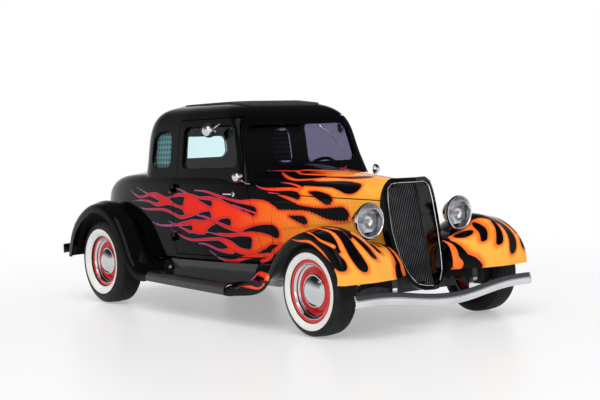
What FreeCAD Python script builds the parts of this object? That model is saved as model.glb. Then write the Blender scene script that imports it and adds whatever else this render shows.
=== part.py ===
import FreeCAD, Part
import math
import os
import Sketcher
from types import SimpleNamespace
from FreeCAD import Placement, Rotation, Vector

# A 1930s five-window hot rod coupe. X points forwards, Y to the car's left and Z up.
# Pieces are drawn about the middle of the wheelbase, and each one's Placement carries
# it forward by the row's shift, so that the origin is on the ground under the middle
# of the overall length.

doc = FreeCAD.newDocument("hot_rod")
sheet = doc.addObject("Spreadsheet::Sheet", "sizes")

# alias, value in millimetres or degrees, what it sets
DRIVING_SIZES = [
    ("wheelbase", 2845, "front axle to rear axle"),
    ("front_reach", 478, "front axle to the front of the bumper"),
    ("rear_reach", 738, "rear axle to the back of the rear bumper"),
    ("front_tyre_radius", 302, "outside radius of the front tyres"),
    ("front_tyre_width", 196, "section width of the front tyres"),
    ("front_wheel_offset", 743, "centre line to the middle of a front tyre"),
    ("rear_tyre_radius", 350, "outside radius of the rear tyres"),
    ("rear_tyre_width", 226, "section width of the rear tyres"),
    ("rear_wheel_offset", 700, "centre line to the middle of a rear tyre"),
    ("rim_radius", 208, "edge of the rim flange"),
    ("rim_width", 152, "rim width over the flanges"),
    ("kingpin_offset", 590, "centre line to a kingpin"),
    ("kingpin_radius", 14, "radius of a kingpin"),
    ("kingpin_clearance", 0.05, "radial clearance of a kingpin in its knuckle"),
    ("steer_arm_length", 150, "kingpin to the tie rod's joint"),
    ("wall", 42, "thickness of the cab's walls and doors"),
    ("panel", 12, "thickness of hood panels"),
    ("fender_wall", 9, "thickness of the fenders"),
    ("door_gap", 7, "gap round a door"),
    ("lid_gap", 7, "gap round the hood tops and deck lid"),
    ("door_hinge_back", 452, "mid wheelbase back to the door hinge line"),
    ("door_hinge_offset", 704, "centre line to the door hinge pins"),
    ("door_bottom", 456, "height of the door's lower edge"),
    ("door_top", 1478, "height of the door's upper edge"),
    ("belt_height", 1036, "height at which the door's edge changes slope"),
    ("door_low_reach", 1012, "hinge to the door's front edge at the bottom"),
    ("door_belt_reach", 850, "hinge to the door's front edge at the belt"),
    ("door_high_reach", 728, "hinge to the door's front edge at the top"),
    ("cowl_front", 640, "mid wheelbase to the back of the hood"),
    ("hood_length", 852, "hood, from the cowl to the radiator shell"),
    ("glass", 6, "thickness of the window glass"),
    ("fender_half_width", 862, "centre line to the outside of the fenders"),
    ("bumper_height", 84, "height of a bumper's blade"),
    ("bumper_half_width", 812, "centre line to a bumper's end"),
    ("headlamp_radius", 121, "outside radius of a headlamp's ring"),
    ("headlamp_offset", 414, "centre line to a headlamp"),
    ("headlamp_height", 742, "height of a headlamp's centre"),
    ("frame_height", 300, "underside of the frame rails"),
    ("frame_depth", 104, "depth of the frame rails"),
    ("frame_wall", 46, "width of the frame rails"),
    ("frame_offset", 372, "centre line to the middle of a frame rail"),
    ("seat_back", 560, "mid wheelbase back to the seat's back rest"),
    ("seat_width", 1080, "width of the bench seat"),
    ("steering_wheel_radius", 195, "radius of the steering wheel"),
    ("driver_offset", 330, "centre line to the steering column"),
]
for row, (alias, value, note) in enumerate(DRIVING_SIZES, 1):
    sheet.set(f"A{row}", alias)
    sheet.set(f"B{row}", str(value))
    sheet.set(f"C{row}", note)
    sheet.setAlias(f"B{row}", alias)
doc.recompute()
size = SimpleNamespace(**{alias: float(sheet.get(alias)) for alias, _, _ in DRIVING_SIZES})


class Measure:
    """A length that knows both its value and the sheet's formula for it."""

    def __init__(self, value, text):
        self.value = value
        self.text = text

    def joined(self, other, sign, value):
        return Measure(value, f"({self.text} {sign} {formula(other)})")

    def __add__(self, other):
        return self.joined(other, "+", self.value + number(other))

    def __sub__(self, other):
        return self.joined(other, "-", self.value - number(other))

    def __mul__(self, other):
        return self.joined(other, "*", self.value * number(other))

    def __truediv__(self, other):
        return self.joined(other, "/", self.value / number(other))

    def __neg__(self):
        return Measure(-self.value, f"(0 - {self.text})")


def number(measure):
    """The value in millimetres of a measure or a plain number."""
    return measure.value if isinstance(measure, Measure) else float(measure)


def formula(measure):
    """The text that binds a property to a measure or a plain number."""
    return measure.text if isinstance(measure, Measure) else f"{float(measure):.6f}"


cell = SimpleNamespace(**{alias: Measure(float(sheet.get(alias)), f"sizes.{alias}")
                          for alias, _, _ in DRIVING_SIZES})
frontAxle = size.wheelbase / 2
rearAxle = -size.wheelbase / 2
ROW_SHIFT = (cell.rear_reach - cell.front_reach) / 2
SIDES = [("right", -1), ("left", 1)]
made = []


# ---------------------------------------------------------------- helpers
def keep(feature, label):
    """Names a finished piece and carries it to the row's origin."""
    feature.Label = label
    feature.Placement = Placement(Vector(number(ROW_SHIFT), 0, 0), Rotation()) * feature.Placement
    made.append(feature)
    return feature


def piece(label, shape):
    """A piece whose shape is worked out from the sheet by Part's own functions."""
    feature = doc.addObject("Part::Feature", label)
    feature.Shape = shape
    return keep(feature, label)


def primitive(kind, place, turn=None, **dimensions):
    """A Part primitive whose sizes and place follow the sheet."""
    feature = doc.addObject(f"Part::{kind}", kind)
    for name, measure in dimensions.items():
        feature.setExpression(name, formula(measure))
    if turn:
        feature.Placement.Rotation = Rotation(Vector(*turn[0]), turn[1])
    for axis, measure in zip("xyz", place):
        feature.setExpression(f"Placement.Base.{axis}", formula(measure))
    return feature


def box(place, length, width, height):
    """A box from its lowest corner."""
    return primitive("Box", place, Length=length, Width=width, Height=height)


def cylinder(place, direction, radius, height):
    """A cylinder along X, Y or Z from a point."""
    turn = {"x": ((0, 1, 0), 90), "y": ((1, 0, 0), -90), "z": None}[direction]
    return primitive("Cylinder", place, turn, Radius=radius, Height=height)


def fuse(label, features):
    """One piece from primitives that overlap or touch."""
    union = doc.addObject("Part::MultiFuse", label)
    union.Shapes = features
    union.Refine = True
    return union


def cut(label, base, tool):
    """A feature with another taken away."""
    result = doc.addObject("Part::Cut", label)
    result.Base = base
    result.Tool = tool
    return result


def group(label, features):
    """One node of separate solids."""
    compound = doc.addObject("Part::Compound", label)
    compound.Links = features
    return compound


def bothSides(label, makeOne):
    """One node of a piece and its mirror image, from a function of the side's sign."""
    return group(label, [makeOne(sign) for _, sign in SIDES])


def turned(label, profile):
    """A PartDesign body turned about Y. Its profile's rows are: along, radius, and the
    radius of the arc to the next point, which is 0 for a line and negative for a hollow."""
    body = doc.addObject("PartDesign::Body", label)
    sketch = body.newObject("Sketcher::SketchObject", label + "_sketch")
    origin = body.Origin.OriginFeatures
    plane = [f for f in origin if f.Role == "YZ_Plane"][0]
    sketch.AttachmentSupport = (plane, "")
    sketch.MapMode = "FlatFace"
    points = [Vector(number(along), number(radius), 0) for along, radius, _ in profile]
    arcs = [number(row[2]) for row in profile]
    count = len(points)
    for i in range(count):
        start, end = points[i], points[(i + 1) % count]
        if arcs[i] == 0:
            sketch.addGeometry(Part.LineSegment(start, end), False)
            continue
        chord = end - start
        rise = abs(arcs[i]) - math.sqrt(arcs[i] ** 2 - (chord.Length / 2) ** 2)
        across = Vector(-chord.y, chord.x, 0).normalize() * math.copysign(rise, arcs[i])
        ends = (end, start) if arcs[i] > 0 else (start, end)
        sketch.addGeometry(Part.Arc(ends[0], start + chord / 2 + across, ends[1]), False)
    bulged = [i for i in range(count) if arcs[i]]
    for i, (along, radius, _) in enumerate(profile):
        before = (i - 1) % count
        first = 2 if arcs[i] > 0 else 1
        last = 1 if arcs[before] > 0 else 2
        sketch.addConstraint(Sketcher.Constraint("Coincident", before, last, i, first))
        for kind, measure in (("DistanceX", along), ("DistanceY", radius)):
            index = sketch.addConstraint(Sketcher.Constraint(kind, -1, 1, i, first, number(measure)))
            if isinstance(measure, Measure):
                sketch.setExpression(f"Constraints[{index}]", formula(measure))
    for i in bulged:
        index = sketch.addConstraint(Sketcher.Constraint("Radius", i, abs(arcs[i])))
        if isinstance(profile[i][2], Measure):
            sketch.setExpression(f"Constraints[{index}]", formula(profile[i][2]))
    revolution = body.newObject("PartDesign::Revolution", label + "_turn")
    revolution.Profile = sketch
    revolution.ReferenceAxis = (sketch, ["H_Axis"])
    revolution.Angle = 360
    return body


def placed(feature, x, y, z):
    """Puts a piece made about the origin at its place."""
    for axis, measure in zip("xyz", (x + ROW_SHIFT, y, z)):
        feature.setExpression(f"Placement.Base.{axis}", formula(measure))
    made.append(feature)
    return feature


def roundedEdges(corners, closed=True):
    """Lines joined by tangent arcs. corners holds (point, radius) pairs."""
    count = len(corners)
    turns = []
    for i, (point, radius) in enumerate(corners):
        ends = not closed and i in (0, count - 1)
        if radius <= 0 or ends:
            turns.append((point, None, point))
            continue
        before = corners[i - 1][0] - point
        after = corners[(i + 1) % count][0] - point
        room = 0.49 * min(before.Length, after.Length)
        before.normalize()
        after.normalize()
        half = before.getAngle(after) / 2
        run = min(radius / math.tan(half), room)
        used = run * math.tan(half)
        middle = before + after
        middle.normalize()
        turns.append((point + before * run, point + middle * (used / math.sin(half) - used),
                      point + after * run))
    edges = []
    for i, (start, middle, end) in enumerate(turns):
        if middle is not None:
            edges.append(Part.Arc(start, middle, end).toShape())
        if closed or i < count - 1:
            edges.append(Part.LineSegment(end, turns[(i + 1) % count][0]).toShape())
    return edges


def loft(sections):
    """A smooth solid through closed sections of (point, radius) corners."""
    wires = [Part.Wire(roundedEdges(corners)) for corners in sections]
    return Part.makeLoft(wires, True, False)


def prism(corners, direction):
    """A rounded outline carried along a vector."""
    return Part.Face(Part.Wire(roundedEdges(corners))).extrude(direction)


def mirrored(shape):
    """The same piece on the car's other side."""
    return shape.mirror(Vector(0, 0, 0), Vector(0, 1, 0))


def block(x, y, z):
    """A box between pairs of coordinates."""
    return Part.makeBox(x[1] - x[0], y[1] - y[0], z[1] - z[0], Vector(x[0], y[0], z[0]))


def rod(start, end, radius):
    """A round bar from one point to another."""
    return Part.makeCylinder(radius, (end - start).Length, start, end - start)


def fused(shapes):
    """One solid from pieces that overlap."""
    return shapes[0].multiFuse(shapes[1:]).removeSplitter()


# ---------------------------------------------------------------- cab
# Sections of the lower body across the car. Columns: x, half width at the sill, half
# width and height of the side's fullest line, half width and height of the belt,
# height on the centre line.
LOWER_BODY = [
    (size.cowl_front, 520, 548, 700, 492, 1002, 1102),
    (357, 592, 618, 720, 588, 1050, 1140),
    (0, 642, 664, 730, 646, 1058, 1140),
    (-450, 664, 688, 740, 672, 1060, 1142),
    (-900, 662, 690, 745, 668, 1060, 1146),
    (-1300, 628, 662, 745, 628, 1050, 1138),
    (-1600, 565, 600, 730, 560, 1010, 1098),
    (-1800, 478, 512, 690, 470, 925, 1010),
    (-1915, 372, 405, 640, 362, 815, 880),
    (-1985, 240, 262, 600, 232, 700, 745),
]
# Sections of the roof over the ground. Columns: height, windscreen x, back x, half
# width in front, half width at the back, front and back corner radius.
UPPER_BODY = [
    (1000, 430, -1178, 606, 652, 50, 330),
    (1110, 388, -1150, 590, 642, 56, 320),
    (1360, 304, -1120, 560, 610, 62, 300),
    (1450, 268, -1092, 542, 590, 78, 285),
    (1528, 205, -1046, 500, 552, 110, 270),
    (1578, 110, -985, 425, 480, 150, 250),
    (1604, -10, -905, 330, 385, 170, 230),
]
BODY_BOTTOM = 404
SILL_RADIUS = 26
SIDE_RADIUS = 620
SHOULDER_RADIUS = 105
CROWN_RADIUS = 1500
ROOF_SIDE_BOW = 14


def lowerBody(inset):
    """The lower body's outer form, or with an inset the space inside its walls."""
    sections = []
    for i, (x, sill, side, side_z, belt, belt_z, top) in enumerate(LOWER_BODY):
        if i == 0:
            x -= inset
        if i == len(LOWER_BODY) - 1:
            x += inset
        half = [(sill - inset, BODY_BOTTOM + inset, SILL_RADIUS),
                (side - inset, side_z, SIDE_RADIUS),
                (belt - inset, belt_z - inset, max(SHOULDER_RADIUS - inset, 20))]
        corners = [(Vector(x, y, z), r) for y, z, r in half]
        corners.append((Vector(x, 0, top - inset), CROWN_RADIUS))
        corners += [(Vector(x, -y, z), r) for y, z, r in reversed(half)]
        sections.append(corners)
    return loft(sections)


def upperBody(inset):
    """The greenhouse and roof, or with an inset the space inside them."""
    sections = []
    for i, (z, front, back, front_w, back_w, front_r, back_r) in enumerate(UPPER_BODY):
        z = z - inset if i else z
        half = [(front - inset, front_w - inset, max(front_r - inset, 14)),
                ((front + back) / 2, (front_w + back_w) / 2 + ROOF_SIDE_BOW - inset, 2600),
                (back + 45 + inset, back_w - inset, max(back_r - inset, 20))]
        corners = [(Vector(x, y, z), r) for x, y, r in half]
        corners.append((Vector(back + inset, 0, z), 900))
        corners += [(Vector(x, -y, z), r) for x, y, r in reversed(half)]
        sections.append(corners)
    return loft(sections)


def wheelWell(grow):
    """Room for both rear wheels, with their wheelhouse walls when grown."""
    inner = size.rear_wheel_offset - size.rear_tyre_width / 2 - 28 - grow
    radius = size.rear_tyre_radius + 42 + grow
    one = Part.makeCylinder(radius, 400, Vector(rearAxle, inner, size.rear_tyre_radius),
                            Vector(0, 1, 0))
    return one, mirrored(one)


def doorSweep(grow):
    """A door's space on the right: cones about the hinge line, so that it swings clear."""
    hinge = Vector(-size.door_hinge_back, -size.door_hinge_offset, 0)
    low, belt, high = size.door_bottom - grow, size.belt_height, size.door_top + grow
    at_low = size.door_low_reach + grow
    at_belt = size.door_belt_reach + grow
    at_high = size.door_high_reach + grow
    lower = Part.makeCone(at_low, at_belt, belt - low, hinge + Vector(0, 0, low))
    upper = Part.makeCone(at_belt, at_high, high - belt, hinge + Vector(0, 0, belt))
    ahead = block((-size.door_hinge_back - grow + size.door_gap / 2, 1400), (-1000, -330), (200, 1700))
    return lower.fuse(upper).common(ahead)


# Outlines of the side windows from the side. Columns: x, z, corner radius.
DOOR_WINDOW = [(-388, 1112, 45), (322, 1112, 60), (236, 1426, 55), (-388, 1430, 50)]
QUARTER_WINDOW = [(-556, 1114, 60), (-556, 1416, 70), (-812, 1396, 120), (-846, 1114, 90)]
BACK_WINDOW = [(-290, 1180, 55), (290, 1180, 55), (262, 1362, 60), (-262, 1362, 60)]
WINDSCREEN = [(-512, 1128, 60), (512, 1128, 60), (478, 1418, 70), (-478, 1418, 70)]


def sideWindow(outline, grow=0):
    """A side window's hole, through both walls of the cab."""
    middle_x = sum(p[0] for p in outline) / len(outline)
    middle_z = sum(p[1] for p in outline) / len(outline)
    corners = [(Vector(x + math.copysign(grow, x - middle_x), -900,
                       z + math.copysign(grow, z - middle_z)), r) for x, z, r in outline]
    return prism(corners, Vector(0, 500, 0))


def endWindow(outline, x, depth, grow=0):
    """A windscreen's or back window's hole, along the car."""
    middle_z = sum(p[1] for p in outline) / len(outline)
    corners = [(Vector(x, y + math.copysign(grow, y), z + math.copysign(grow, z - middle_z)), r)
               for y, z, r in outline]
    return prism(corners, Vector(depth, 0, 0))


# The floor is raised over the kicked-up rails and the rear axle. Columns: x, z from the side.
TUNNEL = [(-970, 350), (-970, 430), (-1110, 574), (-1740, 574), (-1880, 404), (-1880, 350)]
TUNNEL_HALF_WIDTH = 430


def tunnel(grow):
    """The space under the raised floor, with the floor's own thickness when grown."""
    corners = [(Vector(x + math.copysign(grow, x + 1400), -TUNNEL_HALF_WIDTH - grow, z + grow), 0)
               for x, z in TUNNEL]
    return prism(corners, Vector(0, 2 * (TUNNEL_HALF_WIDTH + grow), 0))


bodyForm = lowerBody(0).fuse(upperBody(0))
bodySpace = lowerBody(size.wall).fuse(upperBody(size.wall)).cut(tunnel(size.wall / 2))
wellRight, wellLeft = wheelWell(0)
wellWalls = wheelWell(size.wall / 2)
bodySpace = bodySpace.cut(wellWalls[0]).cut(wellWalls[1])
bodyShell = bodyForm.cut(bodySpace).cut(wellRight).cut(wellLeft).cut(tunnel(0))
doorWindow = sideWindow(DOOR_WINDOW)
quarterWindow = sideWindow(QUARTER_WINDOW)

rightDoor = bodyShell.common(doorSweep(0)).cut(doorWindow).cut(endWindow(WINDSCREEN, 150, 400, 8))

# The deck lid: the part of the shell behind the hinge line and between two side cuts.
LID_FRONT = -1222
LID_HALF_WIDTH = 396
LID_BOTTOM = 655


def lidSpace(grow):
    """The deck lid's share of the tail."""
    return block((-2100, LID_FRONT + grow), (-LID_HALF_WIDTH - grow, LID_HALF_WIDTH + grow),
                 (LID_BOTTOM - grow, 1300))


lidShape = bodyShell.common(lidSpace(0))
cabShape = bodyShell
for opening in (doorSweep(size.door_gap), mirrored(doorSweep(size.door_gap)), quarterWindow,
                mirrored(quarterWindow), lidSpace(size.lid_gap),
                endWindow(WINDSCREEN, 150, 400), endWindow(BACK_WINDOW, -1300, 400)):
    cabShape = cabShape.cut(opening)

# Door hinges: on each, the cab's knuckle is below and the door's is above. Column: height.
DOOR_HINGES = [585, 960]
HINGE_RADIUS = 10
HINGE_LENGTH = 34
HINGE_LEAF = 46


def hingeKnuckle(height, forward):
    """One half of a door hinge on the right: a barrel about the pin's line and its leaf."""
    x, y = -size.door_hinge_back, -size.door_hinge_offset
    low = height + 0.5 if forward > 0 else height - HINGE_LENGTH
    barrel = Part.makeCylinder(HINGE_RADIUS, HINGE_LENGTH, Vector(x, y, low))
    span = (x, x + HINGE_LEAF) if forward > 0 else (x - HINGE_LEAF, x)
    leaf = block(span, (y - 3, y + 40), (low, low + HINGE_LENGTH))
    return barrel.fuse(leaf)


for height in DOOR_HINGES:
    rightDoor = rightDoor.fuse(hingeKnuckle(height, 1).cut(bodySpace))
    cabKnuckle = hingeKnuckle(height, -1).cut(bodySpace)
    cabShape = cabShape.fuse(cabKnuckle).fuse(mirrored(cabKnuckle))

# Deck lid hinges: on each, the cab's barrel is outside and the lid's is inside.
LID_HINGES = [-150, 150]
LID_PIN = Vector(LID_FRONT + size.lid_gap / 2, 0, 1138)


def lidBarrel(y, backward):
    """A barrel about the lid's pin line and its leaf, towards the lid or the cab."""
    barrel = Part.makeCylinder(HINGE_RADIUS - 2, HINGE_LENGTH, LID_PIN + Vector(0, y, 0), Vector(0, 1, 0))
    ends = sorted([LID_PIN.x, LID_PIN.x - backward * HINGE_LEAF])
    leaf = block(ends, (y, y + HINGE_LENGTH), (LID_PIN.z - 30, LID_PIN.z + 3))
    return barrel.fuse(leaf.cut(bodySpace))


for middle in LID_HINGES:
    outer = middle + 0.5 if middle > 0 else middle - 0.5 - HINGE_LENGTH
    inner = middle - HINGE_LENGTH if middle > 0 else middle
    lidShape = lidShape.fuse(lidBarrel(inner, 1))
    cabShape = cabShape.fuse(lidBarrel(outer, -1))

piece("cab_shell", cabShape)
piece("door_right", rightDoor)
piece("door_left", mirrored(rightDoor))
piece("deck_lid", lidShape)

# ---------------------------------------------------------------- roof insert and glass
ROOF_INSERT = [(-760, -372, 90), (150, -372, 90), (150, 372, 90), (-760, 372, 90)]
insertOutline = prism([(Vector(x, y, 1450), r) for x, y, r in ROOF_INSERT], Vector(0, 0, 300))
piece("roof_insert", upperBody(-8).common(insertOutline).cut(upperBody(0)))

glassDepth = size.wall / 2
glassSkin = upperBody(glassDepth - size.glass).cut(upperBody(glassDepth))
piece("cab_glass", Part.makeCompound(
    [glassSkin.common(opening) for opening in
     (endWindow(WINDSCREEN, 150, 400), endWindow(BACK_WINDOW, -1300, 400),
      quarterWindow, mirrored(quarterWindow))]))
doorPane = glassSkin.common(doorWindow)
piece("door_glass_right", doorPane)
piece("door_glass_left", mirrored(doorPane))

# ---------------------------------------------------------------- hood
# Sections of the hood. Columns as for the lower body, with its lower edge's height.
HOOD_FRONT = size.cowl_front + size.hood_length
HOOD = [
    (size.cowl_front + 2, 520, 548, 700, 492, 1002, 1102, 470),
    (size.cowl_front + 0.52 * size.hood_length, 352, 386, 720, 352, 962, 1056, 475),
    (HOOD_FRONT, 205, 232, 740, 210, 925, 1012, 482),
]
HOOD_SPLIT = 905


def hoodForm(inset):
    """The hood's outer form. An inset one runs through its ends and bottom, to be cut out of it."""
    sections = []
    through = 5 if inset > 0 else 0
    for i, (x, low, side, side_z, belt, belt_z, top, bottom) in enumerate(HOOD):
        if i == 0:
            x -= through
        if i == len(HOOD) - 1:
            x += through
        half = [(low - inset, bottom - through, 0), (side - inset, side_z, SIDE_RADIUS),
                (belt - inset, belt_z - inset, SHOULDER_RADIUS - inset)]
        corners = [(Vector(x, y, z), r) for y, z, r in half]
        corners.append((Vector(x, 0, top - inset), CROWN_RADIUS))
        corners += [(Vector(x, -y, z), r) for y, z, r in reversed(half)]
        sections.append(corners)
    return loft(sections)


hoodForm0 = hoodForm(0)
hoodShell = hoodForm0.cut(hoodForm(size.panel))
sideCut = prism([(Vector(HOOD[0][0] - 50, -700, HOOD_SPLIT + 17), 0),
                 (Vector(HOOD_FRONT + 50, -700, HOOD_SPLIT - 43), 0),
                 (Vector(HOOD_FRONT + 50, -700, 1300), 0),
                 (Vector(HOOD[0][0] - 50, -700, 1300), 0)], Vector(0, 700 - size.lid_gap / 2, 0))
hoodTop = hoodShell.common(sideCut)
lowCut = prism([(Vector(HOOD[0][0] - 50, -700, HOOD_SPLIT + 17 - size.lid_gap), 0),
                (Vector(HOOD_FRONT + 50, -700, HOOD_SPLIT - 43 - size.lid_gap), 0),
                (Vector(HOOD_FRONT + 50, -700, 300), 0),
                (Vector(HOOD[0][0] - 50, -700, 300), 0)], Vector(0, 700, 0))
hoodSide = hoodShell.common(lowCut)


def topOf(shape, x, y=0):
    """The height of a shape's top over a point of the ground."""
    line = Part.makeLine(Vector(x, y, 300), Vector(x, y, 1500))
    return line.common(shape).BoundBox.ZMax


def topAround(shape, x, y, radius):
    """The height of a shape's top within a circle, for an upright post to stand on."""
    circle = [Rotation(Vector(0, 0, 1), turn).multVec(Vector(radius, 0, 0)) for turn in range(0, 360, 30)]
    return max(topOf(shape, x + point.x, y + point.y) for point in circle)


hingeBack = Vector(HOOD[0][0] - 1.7, 0, topOf(hoodForm0, HOOD[0][0] + 1) - 1)
hingeFront = Vector(HOOD_FRONT + 0.7, 0, topOf(hoodForm0, HOOD_FRONT - 1) - 1)

# Squared off to the hinge line, the hood tops' front edges swing up in one plane.
hoodSlope = (hingeBack.z - hingeFront.z) / (hingeFront.x - hingeBack.x)


def hoodEdge(z, gap=0):
    """Where the hood tops' front edge is at a height, or a gap ahead of it."""
    return HOOD_FRONT - 2 + gap - (hingeFront.z - z) * hoodSlope


hoodTop = hoodTop.common(prism([(Vector(HOOD[0][0] - 60, -700, 1300), 0),
                                (Vector(hoodEdge(1300), -700, 1300), 0),
                                (Vector(hoodEdge(700), -700, 700), 0),
                                (Vector(HOOD[0][0] - 60, -700, 700), 0)], Vector(0, 700, 0)))
piece("hood_hinge", rod(hingeBack, hingeFront, 3))
piece("hood_top_right", hoodTop)
piece("hood_top_left", mirrored(hoodTop))

# ---------------------------------------------------------------- radiator shell and grille
# Sections of the shell over the ground. Columns: height, nose x, side x, half width.
RADIATOR = [
    (252, 1735, 1712, 58),
    (292, 1727, 1680, 128),
    (366, 1711, 1650, 184),
    (480, 1687, 1606, 220),
    (650, 1652, 1560, 240),
    (820, 1618, 1528, 238),
    (942, 1593, 1508, 222),
    (1010, 1578, 1512, 150),
]
HOOD_GAP = 5.5
SHELL_WALL = 24
GRILLE_RECESS = 9
GRILLE_DEPTH = 14


def radiatorForm(inset, nose_back, back):
    """The shell's form, V-shaped in front, with its sides inset and its nose set back."""
    sections = []
    for i, (z, nose, side, half_width) in enumerate(RADIATOR):
        if i == 0:
            z += inset
        if i == len(RADIATOR) - 1:
            z -= inset
        width = half_width - inset
        rear = back(z, side)
        corners = [(Vector(rear, width, z), 0), (Vector(side - nose_back, width, z), 0),
                   (Vector(nose - nose_back, 0, z), 30), (Vector(side - nose_back, -width, z), 0),
                   (Vector(rear, -width, z), 0)]
        sections.append(corners)
    return loft(sections)


def shellBack(z, side):
    """The shell's back edge: along the hood's front edge, then following the grille down."""
    return max(hoodEdge(z, HOOD_GAP), side - 62)


outerShell = radiatorForm(0, 0, shellBack)
innerShell = radiatorForm(SHELL_WALL, -40, lambda z, side: shellBack(z, side) - 60)
piece("radiator_shell", outerShell.cut(innerShell))
hoodSide = hoodSide.cut(radiatorForm(-3, -40, lambda z, side: shellBack(z, side) - HOOD_GAP))
piece("hood_sides", Part.makeCompound([hoodSide, mirrored(hoodSide)]))
grilleFront = radiatorForm(SHELL_WALL, GRILLE_RECESS, lambda z, side: shellBack(z, side) - 30)
grilleBack = radiatorForm(SHELL_WALL - 10, GRILLE_RECESS + GRILLE_DEPTH,
                          lambda z, side: shellBack(z, side) - 60)
piece("grille", grilleFront.cut(grilleBack))

# ---------------------------------------------------------------- fenders
# Sections along a fender. Columns: crest x and z, lean of the section from upright
# (forwards positive), then across the car: inner edge y and drop below the crest,
# hollow y and drop, crest y, outer edge drop.
FRONT_FENDER = [
    (1838, 366, 90, 215, 150, 400, 34, 600, 84),
    (1815, 505, 66, 232, 150, 400, 66, 610, 92),
    (1735, 628, 42, 246, 152, 400, 98, 620, 120),
    (1605, 702, 18, 250, 152, 400, 120, 630, 118),
    (1440, 727, 0, 250, 146, 400, 122, 640, 108),
    (1265, 700, -22, 290, 126, 420, 104, 650, 118),
    (1120, 622, -42, 345, 96, 450, 78, 660, 120),
    (1005, 500, -56, 380, 62, 480, 46, 668, 110),
    (905, 380, -40, 450, -70, 530, 12, 676, 108),
    (745, 322, -14, 500, -116, 566, 8, 684, 94),
    (600, 306, -3, 534, -92, 590, 6, 688, 90),
    (468, 300, 0, 552, -98, 606, 5, 690, 88),
]
REAR_FENDER = [
    (-2012, 372, -90, 420, 110, 560, 46, 700, 158),
    (-1950, 560, -68, 430, 90, 575, 40, 705, 150),
    (-1820, 728, -44, 480, 66, 600, 34, 712, 146),
    (-1640, 828, -20, 560, 54, 640, 28, 718, 128),
    (-1430, 862, 2, 590, 52, 655, 26, 722, 100),
    (-1215, 822, 24, 606, 54, 660, 28, 722, 104),
    (-1050, 708, 44, 612, 56, 664, 30, 716, 100),
    (-935, 540, 58, 620, 46, 664, 26, 706, 92),
    (-850, 404, 48, 622, -10, 662, 14, 700, 90),
    (-745, 338, 18, 624, -62, 660, 8, 696, 90),
    (-612, 326, 0, 626, -74, 658, 5, 690, 80),
]
CREST_RADIUS = 150
HOLLOW_RADIUS = 60
EDGE_RADIUS = 95
SEAT_GAP = 0.3


def fender(table):
    """A left fender: a thin crowned sheet, lofted through its leaning sections."""
    sections = []
    outer = size.fender_half_width
    wall = size.fender_wall
    for x, z, lean, inner, inner_drop, hollow, hollow_drop, crest, outer_drop in table:
        normal = Vector(math.sin(math.radians(lean)), 0, math.cos(math.radians(lean)))
        shoulder = -0.38 * outer_drop
        outline = [(inner, -inner_drop, 0), (hollow, -hollow_drop, HOLLOW_RADIUS), (crest, 0, CREST_RADIUS),
                   (outer - 12, shoulder, EDGE_RADIUS), (outer, -outer_drop, 0)]
        inside = [(outer - wall, -outer_drop, 0),
                  (outer - 12 - wall, shoulder - wall * 0.8, EDGE_RADIUS - wall),
                  (crest, -wall, CREST_RADIUS - wall), (hollow - 2, -hollow_drop - wall, HOLLOW_RADIUS),
                  (inner - 3, -inner_drop - wall, 0)]
        sections.append([(Vector(x, y, z) + normal * rise, r) for y, rise, r in outline + inside])
    return loft(sections)


bodySeat = lowerBody(-SEAT_GAP)
hoodSeat = hoodForm(-SEAT_GAP)
frontFender = fender(FRONT_FENDER).cut(bodySeat).cut(hoodSeat)
rearFender = fender(REAR_FENDER).cut(bodySeat)
for label, left in (("front_fenders", frontFender), ("rear_fenders", rearFender)):
    print(label, left.isValid(), left.ShapeType, len(left.Solids))
    piece(label, Part.makeCompound([mirrored(left), left]))

# Running boards: columns are x, top height, lower edge height, apron y.
RUNNING_BOARD = [(-612 + SEAT_GAP, 326, 246, 622), (468 - SEAT_GAP, 300, 212, 548)]
BOARD_WALL = 12


def runningBoard():
    """A left running board with its turned-down edge and the apron up to the body."""
    sections = []
    outer = size.fender_half_width
    wall = BOARD_WALL
    for x, top, low, apron in RUNNING_BOARD:
        outline = [(apron - wall, BODY_BOTTOM, 0), (apron, BODY_BOTTOM, 0), (apron, top - 2, 0),
                   (outer - 34, top - 6, 45), (outer, top - 34, 40), (outer, low, 0), (outer - wall, low, 0),
                   (outer - wall, top - 40, 30), (outer - 40, top - 8 - wall, 30),
                   (apron - wall, top - 4 - wall, 0)]
        sections.append([(Vector(x, y, z), r) for y, z, r in outline])
    return loft(sections)


board = runningBoard()
piece("running_boards", Part.makeCompound([mirrored(board), board]))

# ---------------------------------------------------------------- frame and running gear
# A rail from the side. Columns: x, height of its underside.
RAIL = [(1750, 300), (-980, 300), (-1130, 470), (-1700, 470), (-1840, 300), (-2060, 300)]
frameTop = cell.frame_height + cell.frame_depth


def rail(sign):
    """A frame rail, one rounded strip kicked up over the rear axle."""
    y = sign * size.frame_offset - size.frame_wall / 2
    lift = size.frame_height - 300
    low = [(Vector(x, y, z + lift), 0) for x, z in RAIL]
    high = [(Vector(x, y, z + lift + size.frame_depth), 0) for x, z in reversed(RAIL)]
    return prism(low + high, Vector(0, size.frame_wall, 0))


# Crossmembers. Columns: x, underside height, depth, length along the car.
CROSSMEMBERS = [(1400, 300, 104, 80), (870, 300, 60, 70), (-430, 300, 60, 70),
                (-1422, 500, 60, 70), (-2035, 300, 60, 50)]
members = [block((x - length / 2, x + length / 2), (-size.frame_offset, size.frame_offset), (z, z + depth))
           for x, z, depth, length in CROSSMEMBERS]

# Pads under the rails for a jack. Column: x.
JACK_PADS = [400, -800]
PAD_LENGTH = 80
PAD_DEPTH = 6
pads = [block((x - PAD_LENGTH / 2, x + PAD_LENGTH / 2),
              (sign * size.frame_offset - size.frame_wall / 2, sign * size.frame_offset + size.frame_wall / 2),
              (size.frame_height - PAD_DEPTH, size.frame_height))
        for x in JACK_PADS for _, sign in SIDES]
piece("frame_rails", fused([rail(-1), rail(1)] + members + pads))

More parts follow.
